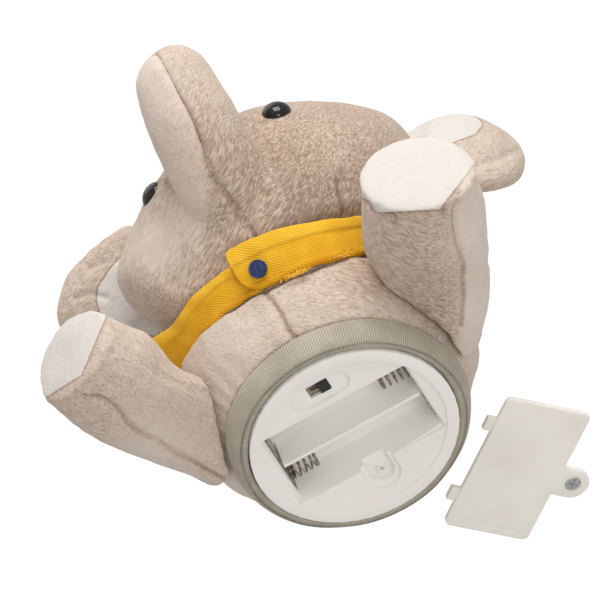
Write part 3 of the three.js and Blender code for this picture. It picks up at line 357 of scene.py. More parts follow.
for lead_colour, leads in (((0.5, 0.02, 0.015), ("front_battery_wire", "switch_wire_1", "speaker_wire_1")),
                           ((0.02, 0.02, 0.02), ("rear_battery_wire", "switch_wire_2", "speaker_wire_2"))):
    lead_coat = Coat(leads[0] + "_insulation", Roughness=0.45)
    darker = tuple(0.75 * channel for channel in lead_colour)
    lead_coat.colour(lead_coat.mixed(lead_coat.noise(500, 2), darker, lead_colour))
    painted(lead_coat, *leads)


# Base plate: one moulding of off-white plastic with a raised rim, two battery bays, the switch recess
# and the stepped pocket with the boss for the door's screw.
base_coat = Coat("off_white_plastic", Subsurface_Weight=0.12, Subsurface_Scale=2 * MM,
                 Subsurface_Radius=(1.0, 0.8, 0.6))
base_coat.grained(45, 3, (0.3, (0.86, 0.845, 0.805)), (0.7, (0.90, 0.89, 0.86)))
base_coat.roughness(0.34 + 0.16 * base_coat.noise(260, 4))
base_coat.bumped(base_coat.noise(3200, 2), 0.015 * MM)
base_shell = eased(copied("moulded_base_plate", "base_plate"), 0.25 * MM)
dressed(base_shell, base_coat)


# Battery contacts: nickel-plated spring steel. Each bay has a coil spring on one plate and a flat
# plate at the other end.
nickel_coat = Coat("nickel_plated_steel", Metallic=1.0)
nickel_wear = nickel_coat.grained(380, 4, (0.35, (0.16, 0.14, 0.11)), (0.65, (0.5, 0.47, 0.41)))
nickel_coat.roughness(0.18 + 0.22 * nickel_wear)
for plate in ("bridge_contact", "front_contact", "rear_contact"):
    dressed(eased(copied(plate + "_plate", plate), 0.06 * MM, 1), nickel_coat)

spring_wire = 0.36 * MM
spring_curls = 6
spring_steps = 20
spring_taper = 0.16
flat_curls = 0.9
for node in ("front_battery_spring", "rear_battery_spring"):
    low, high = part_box(node)
    middle = (low + high) / 2
    coil_radius = (high.y - low.y) / 2 - spring_wire
    curve = bpy.data.curves.new(node, "CURVE")
    curve.dimensions = "3D"
    curve.bevel_depth = spring_wire
    curve.bevel_resolution = 3
    curve.use_fill_caps = True
    steps = spring_curls * spring_steps
    line = curve.splines.new("POLY")
    line.points.add(steps)
    foot, tip = (high.x, low.x) if node.startswith("front") else (low.x, high.x)
    foot, tip = foot + math.copysign(spring_wire, tip - foot), tip - math.copysign(spring_wire, tip - foot)
    for step in range(steps + 1):
        share = step / steps
        turn = 2 * math.pi * spring_curls * share
        radius = coil_radius * (1 - spring_taper * share)
        # The first and the last curl lie flat against the plate and the cell.
        along = min(max((share * spring_curls - flat_curls) / (spring_curls - 2 * flat_curls), 0), 1)
        x = foot + (tip - foot) * (0.04 * share + 0.96 * along)
        line.points[step].co = (x, middle.y + radius * math.cos(turn), middle.z + radius * math.sin(turn), 1)
    coil = linked(node.replace("_battery", "_coil"), curve)
    only(coil)
    bpy.ops.object.convert(target="MESH")
    bpy.ops.object.shade_smooth()
    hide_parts(node)
    dressed(coil, nickel_coat)


# Slide switch: a small metal frame behind the base plate's window, with a black knob.
window_coat = Coat("switch_frame_metal", Metallic=0.6)
window_wear = window_coat.grained(600, 3, (0.3, (0.32, 0.27, 0.2)), (0.7, (0.5, 0.44, 0.34)))
window_coat.roughness(0.3 + 0.3 * window_wear)
painted(window_coat, "switch_body")
knob_piece = eased(copied("switch_knob_cap", "switch_knob"), 0.15 * MM)
dressed(knob_piece, black_coat, "knob")


# Battery door: a thin moulding of milky plastic, with two tabs on one long edge and a rounded ear
# with a counterbore for its captive screw on the other.
door_coat = Coat("milky_plastic", Subsurface_Weight=0.5, Subsurface_Scale=4 * MM,
                 Subsurface_Radius=(1.0, 0.9, 0.75))
door_coat.grained(60, 3, (0.3, (0.79, 0.765, 0.71)), (0.7, (0.87, 0.85, 0.80)))
door_coat.roughness(0.3 + 0.14 * door_coat.noise(300, 4))
door_coat.bumped(door_coat.noise(2400, 2), 0.02 * MM)
door_piece = eased(copied("moulded_battery_door", "battery_door"), 0.2 * MM)
dressed(door_piece, door_coat, "door")
screw_piece = eased(copied("captive_door_screw", "door_screw"), 0.08 * MM, 1)
dressed(screw_piece, steel_coat, "screw")


# Knit ring: a ribbed band of grey-olive knit, sewn to the plush and pulled round the rim of the base.
# Its section is a drawn circle, which is spun round the base and then ribbed.
knit_low, knit_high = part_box("knit_ring")
knit_outer = (knit_high.x - knit_low.x) / 2
knit_width = 6.9 * MM
knit_rise = 11.0 * MM
knit_corners = 28
knit_ribs = 300
columns_per_rib = 4
rib_depth = 0.22 * MM
rib_level = 0.6
slack_depth = 0.12 * MM
knit_lean = 0.22 * knit_width
knit_middle = Vector((base_middle.x + knit_outer - knit_width / 2, base_middle.y,
                      (knit_low.z + knit_high.z) / 2))


def points_of(piece):
    points = np.empty(3 * len(piece.data.vertices))
    piece.data.vertices.foreach_get("co", points)
    return points.reshape(-1, 3)


def normals_of(piece):
    normals = np.empty(3 * len(piece.data.vertices))
    piece.data.vertices.foreach_get("normal", normals)
    return normals.reshape(-1, 3)


def move_points(piece, points):
    piece.data.vertices.foreach_set("co", np.ascontiguousarray(points).ravel())
    piece.data.update()


def marked(piece, name, values):
    """Keeps a number for each point of a piece, for its material to read."""
    mark = piece.data.attributes.get(name) or piece.data.attributes.new(name, "FLOAT", "POINT")
    mark.data.foreach_set("value", np.ascontiguousarray(values, np.float32))


def marks_of(piece, name):
    """The numbers kept under a name, or noughts."""
    marks = np.zeros(len(piece.data.vertices), np.float32)
    if name in piece.data.attributes:
        piece.data.attributes[name].data.foreach_get("value", marks)
    return marks


def outward(piece):
    with editing(piece):
        bpy.ops.mesh.normals_make_consistent(inside=False)


bpy.ops.mesh.primitive_circle_add(vertices=knit_corners, radius=1, fill_type="NOTHING",
                                  location=knit_middle, rotation=(math.pi / 2, 0, 0))
knit = bpy.context.object
knit.name = "ribbed_knit_ring"
bpy.ops.object.transform_apply()
section = points_of(knit) - np.array(knit_middle)
# A pillow section: flat against the rim inside, leaning out and round on the outside.
reach = np.sign(section[:, 0]) * np.abs(section[:, 0]) ** np.where(section[:, 0] < 0, 0.4, 0.8)
rise = np.sign(section[:, 2]) * np.abs(section[:, 2]) ** 0.7
outside = section[:, 0] > 0
section[:, 0] = reach * knit_width / 2 + knit_lean * rise * outside - knit_lean * outside * reach * 0.5
section[:, 2] = rise * knit_rise / 2
move_points(knit, section + np.array(knit_middle))
with editing(knit):
    bpy.ops.mesh.spin(steps=knit_ribs * columns_per_rib, angle=2 * math.pi, center=base_middle,
                      axis=(0, 0, 1))
    bpy.ops.mesh.select_all(action="SELECT")
    bpy.ops.mesh.remove_doubles(threshold=0.005 * MM)
outward(knit)
ring = points_of(knit)
ring_angle = np.arctan2(ring[:, 1] - base_middle.y, ring[:, 0] - base_middle.x)
rib_wave = np.abs(np.cos(knit_ribs * ring_angle / 2)) - rib_level
slack_wave = np.sin(5 * ring_angle + 0.6) + 0.6 * np.sin(11 * ring_angle)
move_points(knit, ring + normals_of(knit) * (rib_depth * rib_wave + slack_depth * slack_wave)[:, None])
smoothed(knit)
knit_coat = Coat("grey_olive_rib_knit", Roughness=0.92, Sheen_Weight=0.25, Sheen_Roughness=0.5)
knit_cloud = knit_coat.noise(120, 3)
knit_fibre = knit_coat.noise(2600, 3)
# The knit is painted paler on the crests of its ribs and darker in the grooves between them: painted shade.
knit_coat.colour(knit_coat.ramp(0.35 * knit_cloud + 0.3 * knit_fibre + 0.35 * knit_coat.mark("rib_painted_shade"),
                                (0.28, (0.23, 0.20, 0.15)), (0.5, (0.37, 0.335, 0.265)),
                                (0.72, (0.52, 0.475, 0.39))))
knit_coat.bumped(knit_fibre, 0.12 * MM, 0.8)
# The painted shade mark of the ribs: nought in the grooves, one on the crests.
marked(knit, "rib_painted_shade", np.clip(rib_wave + rib_level, 0, 1))
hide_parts("knit_ring")
dressed(knit, knit_coat)


# Body: a stuffed bag of short-pile plush, with a seam down the front. Its lower edge is gathered and
# sewn to the knit ring.
cloth_frames = 20
filling_pressure = 4.0
seam_hold = 2.6 * MM
seam_shrink = 0.16
mark_width = 0.9 * MM
panel_edge = 1.5 * MM
patch_thickness = 1.3 * MM
patch_edge = 0.7 * MM


def seam_offset(points, line):
    """The step to each point from its nearest place on a seam line, and how far along that is."""
    line = np.array(line) * MM
    nearest = np.full(len(points), 1e9)
    along = np.zeros(len(points))
    offset = np.zeros((len(points), 3))
    start = 0.0
    for a, b in zip(line[:-1], line[1:]):
        leg = b - a
        length = np.linalg.norm(leg)
        share = np.clip((points - a) @ leg / length ** 2, 0, 1)
        step = points - a - share[:, None] * leg
        reach = np.linalg.norm(step, axis=1)
        closer = reach < nearest
        nearest[closer] = reach[closer]
        along[closer] = start + share[closer] * length
        offset[closer] = step[closer]
        start += length
    return offset, along


def seam_reach(points, line):
    """How far each point is from a seam line, and how far along the line its nearest point is."""
    offset, along = seam_offset(points, line)
    return np.linalg.norm(offset, axis=1), along


def bell(share):
    """One in the middle, falling away smoothly to nothing."""
    return np.exp(-(share ** 2))


def filled(piece, seams, most):
    """Presses the filling out into the cloth, while its seams stay short and pucker what is beside them.
    No point moves further than the most that is given."""
    rest = points_of(piece)
    tight = piece.vertex_groups.new(name="seams")
    pull = np.zeros(len(rest))
    for line in seams:
        pull = np.maximum(pull, bell(seam_reach(rest, line)[0] / seam_hold))
    for vertex, weight in enumerate(pull):
        if weight > 0.02:
            tight.add([vertex], float(weight), "REPLACE")
    cloth = piece.modifiers.new("filling", "CLOTH")
    cloth.settings.quality = 5
    cloth.settings.mass = 0.2
    cloth.settings.use_pressure = True
    cloth.settings.uniform_pressure_force = filling_pressure
    cloth.settings.effector_weights.gravity = 0
    cloth.settings.vertex_group_shrink = "seams"
    cloth.settings.shrink_min = 0
    cloth.settings.shrink_max = seam_shrink
    cloth.point_cache.frame_start = 1
    cloth.point_cache.frame_end = cloth_frames
    for step in range(1, cloth_frames + 1):
        scene.frame_set(step)
    only(piece)
    bpy.ops.object.modifier_apply(modifier=cloth.name)
    piece.vertex_groups.clear()
    moved = points_of(piece) - rest
    length = np.linalg.norm(moved, axis=1, keepdims=True)
    capped = moved * np.minimum(1, most / np.maximum(length, 1e-9))
    move_points(piece, rest + capped)
    scene.frame_set(1)


def remeshed(piece, cell, smoothing=4):
    """One even skin of small squares over all the shapes in a piece, a little relaxed."""
    only(piece)
    piece.data.remesh_voxel_size = cell
    piece.data.remesh_voxel_adaptivity = 0
    bpy.ops.object.voxel_remesh()
    for _ in range(smoothing):
        modified(piece, "SMOOTH", factor=0.5, iterations=1)
        modified(piece, "SMOOTH", factor=-0.52, iterations=1)
    return piece


def finer(piece, levels=1):
    return modified(piece, "SUBSURF", levels=levels, render_levels=levels)


def settled(piece, line):
    """A seam line laid on the form's present skin, in steps of about two millimetres."""
    form = bmesh.new()
    form.from_mesh(piece.data)
    skin_tree = BVHTree.FromBMesh(form)
    form.free()
    path = []
    for a, b in zip(line[:-1], line[1:]):
        a, b = Vector(a), Vector(b)
        steps = max(1, round((b - a).length / 2))
        path += [a.lerp(b, step / steps) for step in range(steps)]
    path.append(Vector(line[-1]))
    laid = np.array([skin_tree.find_nearest(place * MM)[0] / MM for place in path])
    for _ in range(8):
        laid[1:-1] = (laid[:-2] + 2 * laid[1:-1] + laid[2:]) / 4
    return [tuple(place) for place in laid]


def sewn(piece, line, depth, width, pucker=0.0, pitch=5.0, spread=4.0):
    """Draws a seam in: a groove along a line, with small tucks that run out from it."""
    points = points_of(piece)
    reach, along = seam_reach(points, settled(piece, line))
    groove = bell(reach / width)
    tuck = np.sin(2 * np.pi * along / (pitch * MM) + 1.7 * np.sin(along / (3.1 * pitch * MM)))
    side = bell(reach / (spread * MM)) * (1 - groove)
    move = (pucker * tuck * side - depth * groove) * MM
    move_points(piece, points + normals_of(piece) * move[:, None])


def seams_marked(piece, *lines):
    """The material darkens the pile where it parts along a seam."""
    points = points_of(piece)
    dark = np.zeros(len(points))
    for line in lines:
        dark = np.maximum(dark, bell(seam_reach(points, settled(piece, line))[0] / mark_width))
    marked(piece, "seam", dark)


def sheen_painted_on_panel(piece, line, side, reach=30.0, lift=1.0):
    """Painted sheen: the pile on one side of a seam lies the other way, so the cloth on that side is painted
    paler.
    """
    offset, _ = seam_offset(points_of(piece), settled(piece, line))
    across = offset @ np.array(side)
    away = np.linalg.norm(offset, axis=1)
    paler = (0.5 + 0.5 * np.tanh(across / panel_edge)) * bell((away / (reach * MM)) ** 2)
    marked(piece, "painted_light_sheen_and_shade", lift * paler)


def painted_light_and_shade(piece, *patches):
    """Patches of painted light and shade on the pile, where it lies toward the light or away from it and
    where light or shade falls on it: place, reach and lift, as the photograph shows.
    """
    flat = seen(points_of(piece))
    lay = marks_of(piece, "painted_light_sheen_and_shade")
    for across, rise, reach, lift in patches:
        # Each patch paints the pile paler or darker by its place in the view: painted light and shade.
        lay += lift * bell(np.hypot(flat[:, 0] - across, flat[:, 1] - rise) / reach)
    marked(piece, "painted_light_sheen_and_shade", lay)


def pressed(piece, middle, radius, depth):
    """A soft dent, or a swelling where the depth is negative."""
    points = points_of(piece)
    near = bell(np.linalg.norm(points - np.array(middle) * MM, axis=1) / (radius * MM))
    move_points(piece, points + normals_of(piece) * (-depth * MM * near)[:, None])


def seen(points):
    """Where points are in the photograph: millimetres right and up of its middle, with no depth."""
    steps = points - np.array(view_middle)
    across, rise = steps @ np.array(camera_right), steps @ np.array(camera_up)
    return np.stack([across, rise, 0 * rise], axis=1) / MM


def view_way(right, up):
    """A step in the plane of the photograph."""
    return right * camera_right + up * camera_up


def view_place(across, rise):
    """A place in the plane of the photograph, from millimetres right and up of its middle."""
    return view_middle + view_way(across, rise) * MM


def drawn(piece, *pulls):
    """Soft pulls on a form as the photograph shows it: place, pull and reach, in its millimetres."""
    points = points_of(piece)
    flat = seen(points)
    move = np.zeros_like(points)
    for across, rise, right, up, reach in pulls:
        near = bell(np.hypot(flat[:, 0] - across, flat[:, 1] - rise) / reach)
        move += near[:, None] * np.array(view_way(right, up))
    move_points(piece, points + move * MM)


def creased(piece, line, depth, width):
    """A fold along a line of the photograph, on the side of the form that shows there."""
    points, normals = points_of(piece), normals_of(piece)
    reach, _ = seam_reach(seen(points) * MM, [(*place, 0) for place in line])
    shown = np.clip(normals @ np.array(camera_back) * 2, 0, 1)
    move_points(piece, points + normals * (-depth * MM * bell(reach / width) * shown)[:, None])


def view_planes(*corners):
    """Planes along the line of sight through the sides of a polygon, listed clockwise as seen."""
    planes = []
    for a, b in zip(corners, corners[1:] + corners[:1]):
        way = Vector((b[0] - a[0], b[1] - a[1])).normalized()
        planes.append((view_place(*a), view_way(-way.y, way.x)))
    return planes


def patched(name, piece, node, planes, depth=0.7):
    """A patch sewn flush into a form: the skin inside some planes, as cloth of its own. The form gives
    way under it, and its pile parts along the patch's edge."""
    form = bmesh.new()
    form.from_mesh(piece.data)
    for place, normal in planes:
        bmesh.ops.bisect_plane(form, geom=form.verts[:] + form.edges[:] + form.faces[:], plane_co=place,
                               plane_no=normal, clear_outer=True)
    mesh = bpy.data.meshes.new(name)
    form.to_mesh(mesh)
    form.free()
    patch = linked(name, mesh)
    modified(patch, "SOLIDIFY", thickness=patch_thickness, offset=-1)
    for mark in ("seam", "painted_light_sheen_and_shade"):
        marked(patch, mark, np.zeros(len(patch.data.vertices)))
    smoothed(patch)
    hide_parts(node)

    points, normals = points_of(piece), normals_of(piece)
    inside = np.min([-(points - np.array(place)) @ np.array(normal) for place, normal in planes], axis=0)
    give = np.clip(inside / (0.9 * MM), 0, 1)
    marked(piece, "seam", np.maximum(marks_of(piece, "seam"), bell(inside / patch_edge)))
    move_points(piece, points - normals * (give * depth * MM)[:, None])
    return patch


pile_clumps = bpy.data.textures.new("pile_clumps", "CLOUDS")
pile_clumps.noise_scale = 7 * MM
pile_clumps.noise_depth = 2
pile_tips = bpy.data.textures.new("pile_tips", "CLOUDS")
pile_tips.noise_scale = 1.3 * MM
pile_tips.noise_depth = 1


def napped(piece, clump=0.3, tips=0.22):
    """Breaks the skin up into the clumps and tips of its pile."""
    for texture, strength in ((pile_clumps, clump), (pile_tips, tips)):
        modified(piece, "DISPLACE", texture=texture, texture_coords="LOCAL", strength=strength * MM,
                 mid_level=0.5)
    smoothed(piece)


def plush_coat(name, lay, tones, wear=0.5, contrast=1.0):
    """Short pile, brushed one way: strokes of pale tips with darker gaps. The lay is the angle of the
    strokes in the photograph, in degrees, and the tones are shade, middle and pale."""
    shade, middle, pale = tones
    coat = Coat(name, Roughness=0.96, Sheen_Weight=0.22, Sheen_Roughness=0.45,
                Sheen_Tint=(1.0, 0.96, 0.92, 1))
    brushed_way = view_way(math.cos(math.radians(lay)), math.sin(math.radians(lay)))
    turn = tuple(brushed_way.rotation_difference(Vector((0, 0, 1))).to_euler())
    drift = coat.node("ShaderNodeTexNoise", None, {
        "Vector": coat.place, "Scale": 55, "Detail": 1.0}, output="Color")
    swirl = coat.node("ShaderNodeVectorMath", {"operation": "MULTIPLY_ADD"}, [
        drift, (0.006, 0.006, 0.006), coat.place])
    strokes = coat.noise(1.0, 2.0, coat.moved((1300, 1300, 270), turn, swirl), 0.6)
    tufts = coat.noise(260, 3.0, swirl)
    patches = coat.noise(28, 2.0)
    seam, painted_light_sheen_and_shade = coat.mark("seam"), coat.mark("painted_light_sheen_and_shade")
    # Where the painted light, sheen and shade mark is low, the strokes show more of their dark gaps: painted
    # shade.
    parted = coat.node("ShaderNodeClamp", None, [0.48 - 0.24 * painted_light_sheen_and_shade, 0.26, 0.85]) * contrast
    tone = 0.5 + parted * (strokes - 0.5) + 0.1 * (tufts - 0.5) + 0.12 * (patches - 0.5)
    # The painted light, sheen and shade mark makes the pile paler or darker; the seam mark darkens it along
    # seams.
    tone = tone + 0.12 * painted_light_sheen_and_shade - 0.17 * seam
    # The darkest stop is the pile's gaps, and the colour that the deepest painted shade reaches.
    gap_and_painted_shade = tuple(0.6 * channel for channel in shade)
    coat.colour(coat.ramp(tone, (0.26, gap_and_painted_shade), (0.4, shade), (0.51, middle), (0.72, pale)))
    coat.bumped(strokes + 0.25 * tufts, wear * MM, 0.75)
    return coat


def stuffed(name, nodes, cell, seams, most, smoothing=4, stands_for=None):
    """A stuffed form in the place of its CAD solids: remeshed, filled and made fine."""
    piece = remeshed(copied(name, *nodes, stands_for=stands_for), cell, smoothing)
    filled(piece, seams, most)
    return finer(piece, 2)


beige = (0.42, 0.315, 0.24), (0.58, 0.475, 0.395), (0.74, 0.665, 0.605)
body_front_seam = [(-6.5, -34, 46), (-5.8, -36.5, 40.2), (-4.4, -37.3, 28.3), (-3.8, -34.8, 20.7),
                   (-3.4, -31.8, 11)]
gather_height = 13.0
gather_count = 46
body_piece = stuffed("plush_body", ["body"], 3.0 * MM, [body_front_seam], 1.6 * MM)
sewn(body_piece, body_front_seam, 1.2, 1.2 * MM, 0.18, 8, 4)
seams_marked(body_piece, body_front_seam)
pressed(body_piece, (-30, -24, 20), 9, 0.9)
pressed(body_piece, (-20, -31, 34), 8, 0.6)
# Small gathers run up from the ring, uneven in depth.
skin = points_of(body_piece)
around = np.arctan2(skin[:, 1] - base_middle.y, skin[:, 0] - base_middle.x)
rise = (skin[:, 2] - 12 * MM) / (gather_height * MM)
unevenness = 0.55 + 0.45 * np.sin(3 * around + 1) * np.sin(7 * around)
gather = np.sin(gather_count * around + 2.4 * np.sin(5 * around)) * unevenness
gather = gather * bell(rise) * 0.3
tuck_in = -0.5 * bell(rise * 3.2)
move_points(body_piece, skin + normals_of(body_piece) * ((gather + tuck_in) * MM)[:, None])
drawn(body_piece, (64, -33, -1.8, 0, 10), (63.7, -20.4, 1.2, -1, 6), (-24, -69, -0.8, -0.9, 9))
# Patches of the body's pile are painted paler or darker: painted light and shade.
painted_light_and_shade(body_piece, (-27, -16, 20, 0.6), (-28, -60, 22, 0.9), (64, -24, 9, 0.6), (24, 8, 9, -0.6))
napped(body_piece)
body_coat = plush_coat("beige_plush_body", -22, beige)
dressed(body_piece, body_coat)


# Legs: stuffed tubes of the same plush, with a seam along each and a sewn-in end. The soles are round
# patches of white plush, puckered by the seam that holds them.
white = (0.58, 0.54, 0.50), (0.67, 0.635, 0.60), (0.74, 0.71, 0.68)
leg_seams = {
    "left": [(78, -58, 10), (73.6, -54.7, 6.6), (69.1, -41.8, 5.5), (64.1, -27.3, 6.6),
             (57.4, -13.1, 8.6), (49.9, 0.5, 10.1)],
    "right": [(-75, -59.9, 10), (-72.1, -56.1, 4.0), (-69.2, -45.1, 3.1),
              (-65.1, -28.6, 5.3), (-60.7, -12.0, 9.2), (-55.5, 1.3, 11.5), (-49.8, 14.4, 13.6)],
}
sole_frames = {
    "left": ((65.92, -57.74, 26.4), (0.3328, -0.943, 0.0)),
    "right": ((-74.30, -60.92, 26.43), (-0.4234, -0.8997, 0.1059)),
}
sole_rim = 21.6
rim_steps = 32


def rim_line(middle, axis, radius):
    """A closed ring of points round a sole, in millimetres."""
    axis = Vector(axis).normalized()
    first = axis.orthogonal().normalized()
    second = axis.cross(first)
    turns = [2 * math.pi * step / rim_steps for step in range(rim_steps + 1)]
    return [tuple(Vector(middle) + radius * (math.cos(t) * first + math.sin(t) * second)) for t in turns]


leg_lay = {"left": -28, "right": -35}
leg_pulls = {
    "left": [(69.6, 7.4, 2.4, 0, 24), (69.6, -14, -1.2, -0.3, 8), (32.3, 4.5, 1.5, 0.8, 14),
             (48, -8, 2.5, 1.5, 12)],
    "right": [(-74, 0, 0, -3.5, 14), (-96, -34, 1.0, 1.3, 9), (-55.6, -61, -0.4, -3.2, 24),
              (-68, -54, -0.6, -1.3, 14),
              (-50, -14, -1.5, -5.5, 15), (-40, -19, -2, -3.5, 11), (-31, -64, 1.5, -3.0, 9)],
}
# Each leg's end is drawn in against the body by the stitches that hold it.
leg_ends = {
    "left": (np.array((58, 22, 28)) * MM, np.array((-1.9, -1.2, 0)) * MM),
    "right": (np.array((-63, 15, 28)) * MM, np.array((2.0, -1.2, 0)) * MM),
}
leg_end_reach = 15 * MM
# Patches of each leg's pile, painted paler or darker as painted light and shade: place, reach and lift.
leg_painted_light_and_shade = {
    "left": [(40, 18, 22, -0.5), (50, -8, 14, -1.0), (62, 22, 10, 0.6), (64, -5, 12, 0.5)],
    "right": [(-58, -33, 16, -0.1), (-52, -57, 16, 0.8)],
}
# Where each sole stops short of the leg's rim: a chord or two across it, as the photograph shows.
sole_chords = {
    "left": [((50.2, 32.2), (0.79, -0.61)), ((38, 32.4), (0.05, -1.0))],
    "right": [((-70.8, -4.8), (0.926, -0.377)), ((-80.0, -27.4), (0.527, -0.851))],
}
rim_back = 1.2 * MM
for side in ("left", "right"):
    middle, axis = sole_frames[side]
    axis = Vector(axis).normalized()
    rim = rim_line(middle, axis, sole_rim)
    leg = stuffed(f"plush_{side}_leg", [f"{side}_leg", f"{side}_sole"], 2.2 * MM, [leg_seams[side], rim],
                  1.6 * MM, 3, stands_for=[f"{side}_leg"])
    sewn(leg, leg_seams[side], 1.1, 1.2 * MM, 0.12, 9, 4)
    seams_marked(leg, leg_seams[side])
    # Painted sheen: the cloth on the right of the leg's seam, as seen, is painted paler.
    sheen_painted_on_panel(leg, leg_seams[side], camera_right, 30, 1.0 if side == "left" else 0.2)
    drawn(leg, *leg_pulls[side])
    # Painted light and shade on the leg's pile.
    painted_light_and_shade(leg, *leg_painted_light_and_shade[side])
    if side == "right":
        pressed(leg, (-84, -66, 30), 8, 1.4)
    end, inward = leg_ends[side]
    skin = points_of(leg)
    near = bell(np.linalg.norm(skin - end, axis=1) / leg_end_reach)
    move_points(leg, skin + near[:, None] * inward)
    napped(leg)
    planes = [(Vector(middle) * MM - rim_back * axis, -axis)]
    planes += [(view_place(*place), view_way(*way)) for place, way in sole_chords[side]]
    sole = patched(f"plush_{side}_sole", leg, f"{side}_sole", planes)
    dressed(leg, plush_coat(f"beige_plush_{side}_leg", leg_lay[side], beige))
    dressed(sole, plush_coat(f"white_plush_{side}_sole", leg_lay[side], white, 0.3, 0.4))


# Head and trunk: sewn from the same plush panels, so the trunk runs into the face without a step. A
# seam runs under the trunk down to the chin, and a short dart shapes the cheek.
trunk_seam = [(-1, -99, 114), (-0.1, -99.4, 110.2), (0.6, -93.9, 97.5), (1.0, -86.7, 87.0),
              (-0.3, -79.4, 79.3), (-2.3, -71.8, 72.9), (-2.3, -65.4, 68.7), (-1.1, -60.1, 65.5),
              (-0.7, -53.5, 61.7), (0.1, -49.9, 55.1), (0, -46, 49)]
cheek_dart = [(38.5, -46, 66), (37.5, -44.9, 63.1), (35.6, -42.0, 56.7), (33.1, -36.9, 53.5), (31, -33, 50)]
trunk_crease = [(15.5, -62, 98), (17.5, -58, 88), (18, -54, 78), (17, -51, 69)]
head_piece = stuffed("plush_head_and_trunk", ("head", "trunk"), 3.0 * MM, [trunk_seam, cheek_dart],
                     1.6 * MM, smoothing=12)
sewn(head_piece, trunk_seam, 1.2, 1.1 * MM, 0.12, 8, 4)
sewn(head_piece, cheek_dart, 1.3, 1.4 * MM, 0.3, 5, 4)
sewn(head_piece, trunk_crease, 1.3, 3.4 * MM)
seams_marked(head_piece, trunk_seam, cheek_dart)
# Painted sheen: the trunk's cloth on the left of its seam, as seen, is painted paler.
sheen_painted_on_panel(head_piece, trunk_seam[:6], -camera_right, 26)
pressed(head_piece, (0, -90, 94), 27, -1.7)
for eye_place in ((26.1, -53.7, 104.8), (-29.4, -46.9, 104.8)):
    pressed(head_piece, eye_place, 8, -0.9)
drawn(head_piece, (26.7, 68.9, 1.6, 2.6, 18), (-60.7, 9.3, -5.5, -0.5, 15), (-53.7, -9.3, -1.5, 3.5, 10),
      (-50, -19, 0, 6, 10), (-60, 72, -1.2, 0.3, 16), (-46, 91, 0, 1.2, 10), (38, 64, 0.9, 1.3, 12))
# The pile of the head is brushed down toward the collar, so it shows its darker ground: the head, apart from
# the trunk, is painted darker, as painted shade.
head_painted_shade = np.clip((points_of(head_piece)[:, 1] + 80 * MM) / (22 * MM), 0, 1)
marked(head_piece, "painted_light_sheen_and_shade", marks_of(head_piece, "painted_light_sheen_and_shade") - 0.5 * head_painted_shade)
# Patches of the head's pile are painted paler or darker: painted light and shade.
painted_light_and_shade(head_piece, (-8, 44, 24, -0.55), (-38, 58, 12, -0.5), (-40, 36, 10, 0.5), (5, 31, 14, -0.8),
      (-30, 22, 13, -0.4), (-55, 20, 13, 1.2), (14, 66, 14, -0.1), (-48, 70, 9, -0.3))
napped(head_piece)
head_coat = plush_coat("beige_plush_head", 62, beige)
dressed(head_piece, head_coat)


# Eyes: domed buttons of polished black plastic, each on a shank through the plush, held by a washer
# inside the head.
eye_coat = Coat("polished_black_plastic", Specular_IOR_Level=0.5)
eye_haze = eye_coat.grained(500, 2, (0.3, (0.003, 0.003, 0.004)), (0.8, (0.008, 0.007, 0.007)))
eye_coat.roughness(0.04 + 0.05 * eye_haze)
washer_coat = Coat("washer_plastic", Roughness=0.5)
washer_coat.grained(300, 2, (0.3, (0.6, 0.6, 0.57)), (0.7, (0.7, 0.7, 0.67)))
for side in ("left", "right"):
    eye = smoothed(finer(copied(f"domed_{side}_eye", f"{side}_eye"), 2))
    dressed(eye, eye_coat)
    painted(washer_coat, f"{side}_eye_washer")


# Ears: flat stuffed lobes of plush sewn to the sides of the head, each with a white plush lining on its inner
# face. Each ear's flap hinge at its root is read from the model to find which way the ear points out.
ear_joints = {joint["child"]: joint for joint in frame["joints"] if joint["name"].endswith("ear_flap")}
ear_pulls = {
    "left": [(63, 64.8, 0, 3.9, 18), (48, 62, -0.6, 2.4, 12), (74, 40.7, 0, 1.2, 12), (86, 54, 1.0, 0.3, 12)],
    "right": [(-82.2, 18.5, 2.5, -2.9, 13), (-63.7, 23.7, 0, 5, 8), (-88.9, -7.4, -2.2, -0.5, 9)],
}
ear_creases = {
    "left": [[(62, 49.5), (65.7, 50.3), (70.4, 51.9), (75.3, 53.3), (80.3, 55.8), (83.5, 57)]],
    "right": [[(-80.5, 12.4), (-76, 14.6), (-70, 15.0)], [(-86, 0.6), (-80, 2.4), (-74, 0.9)]],
}
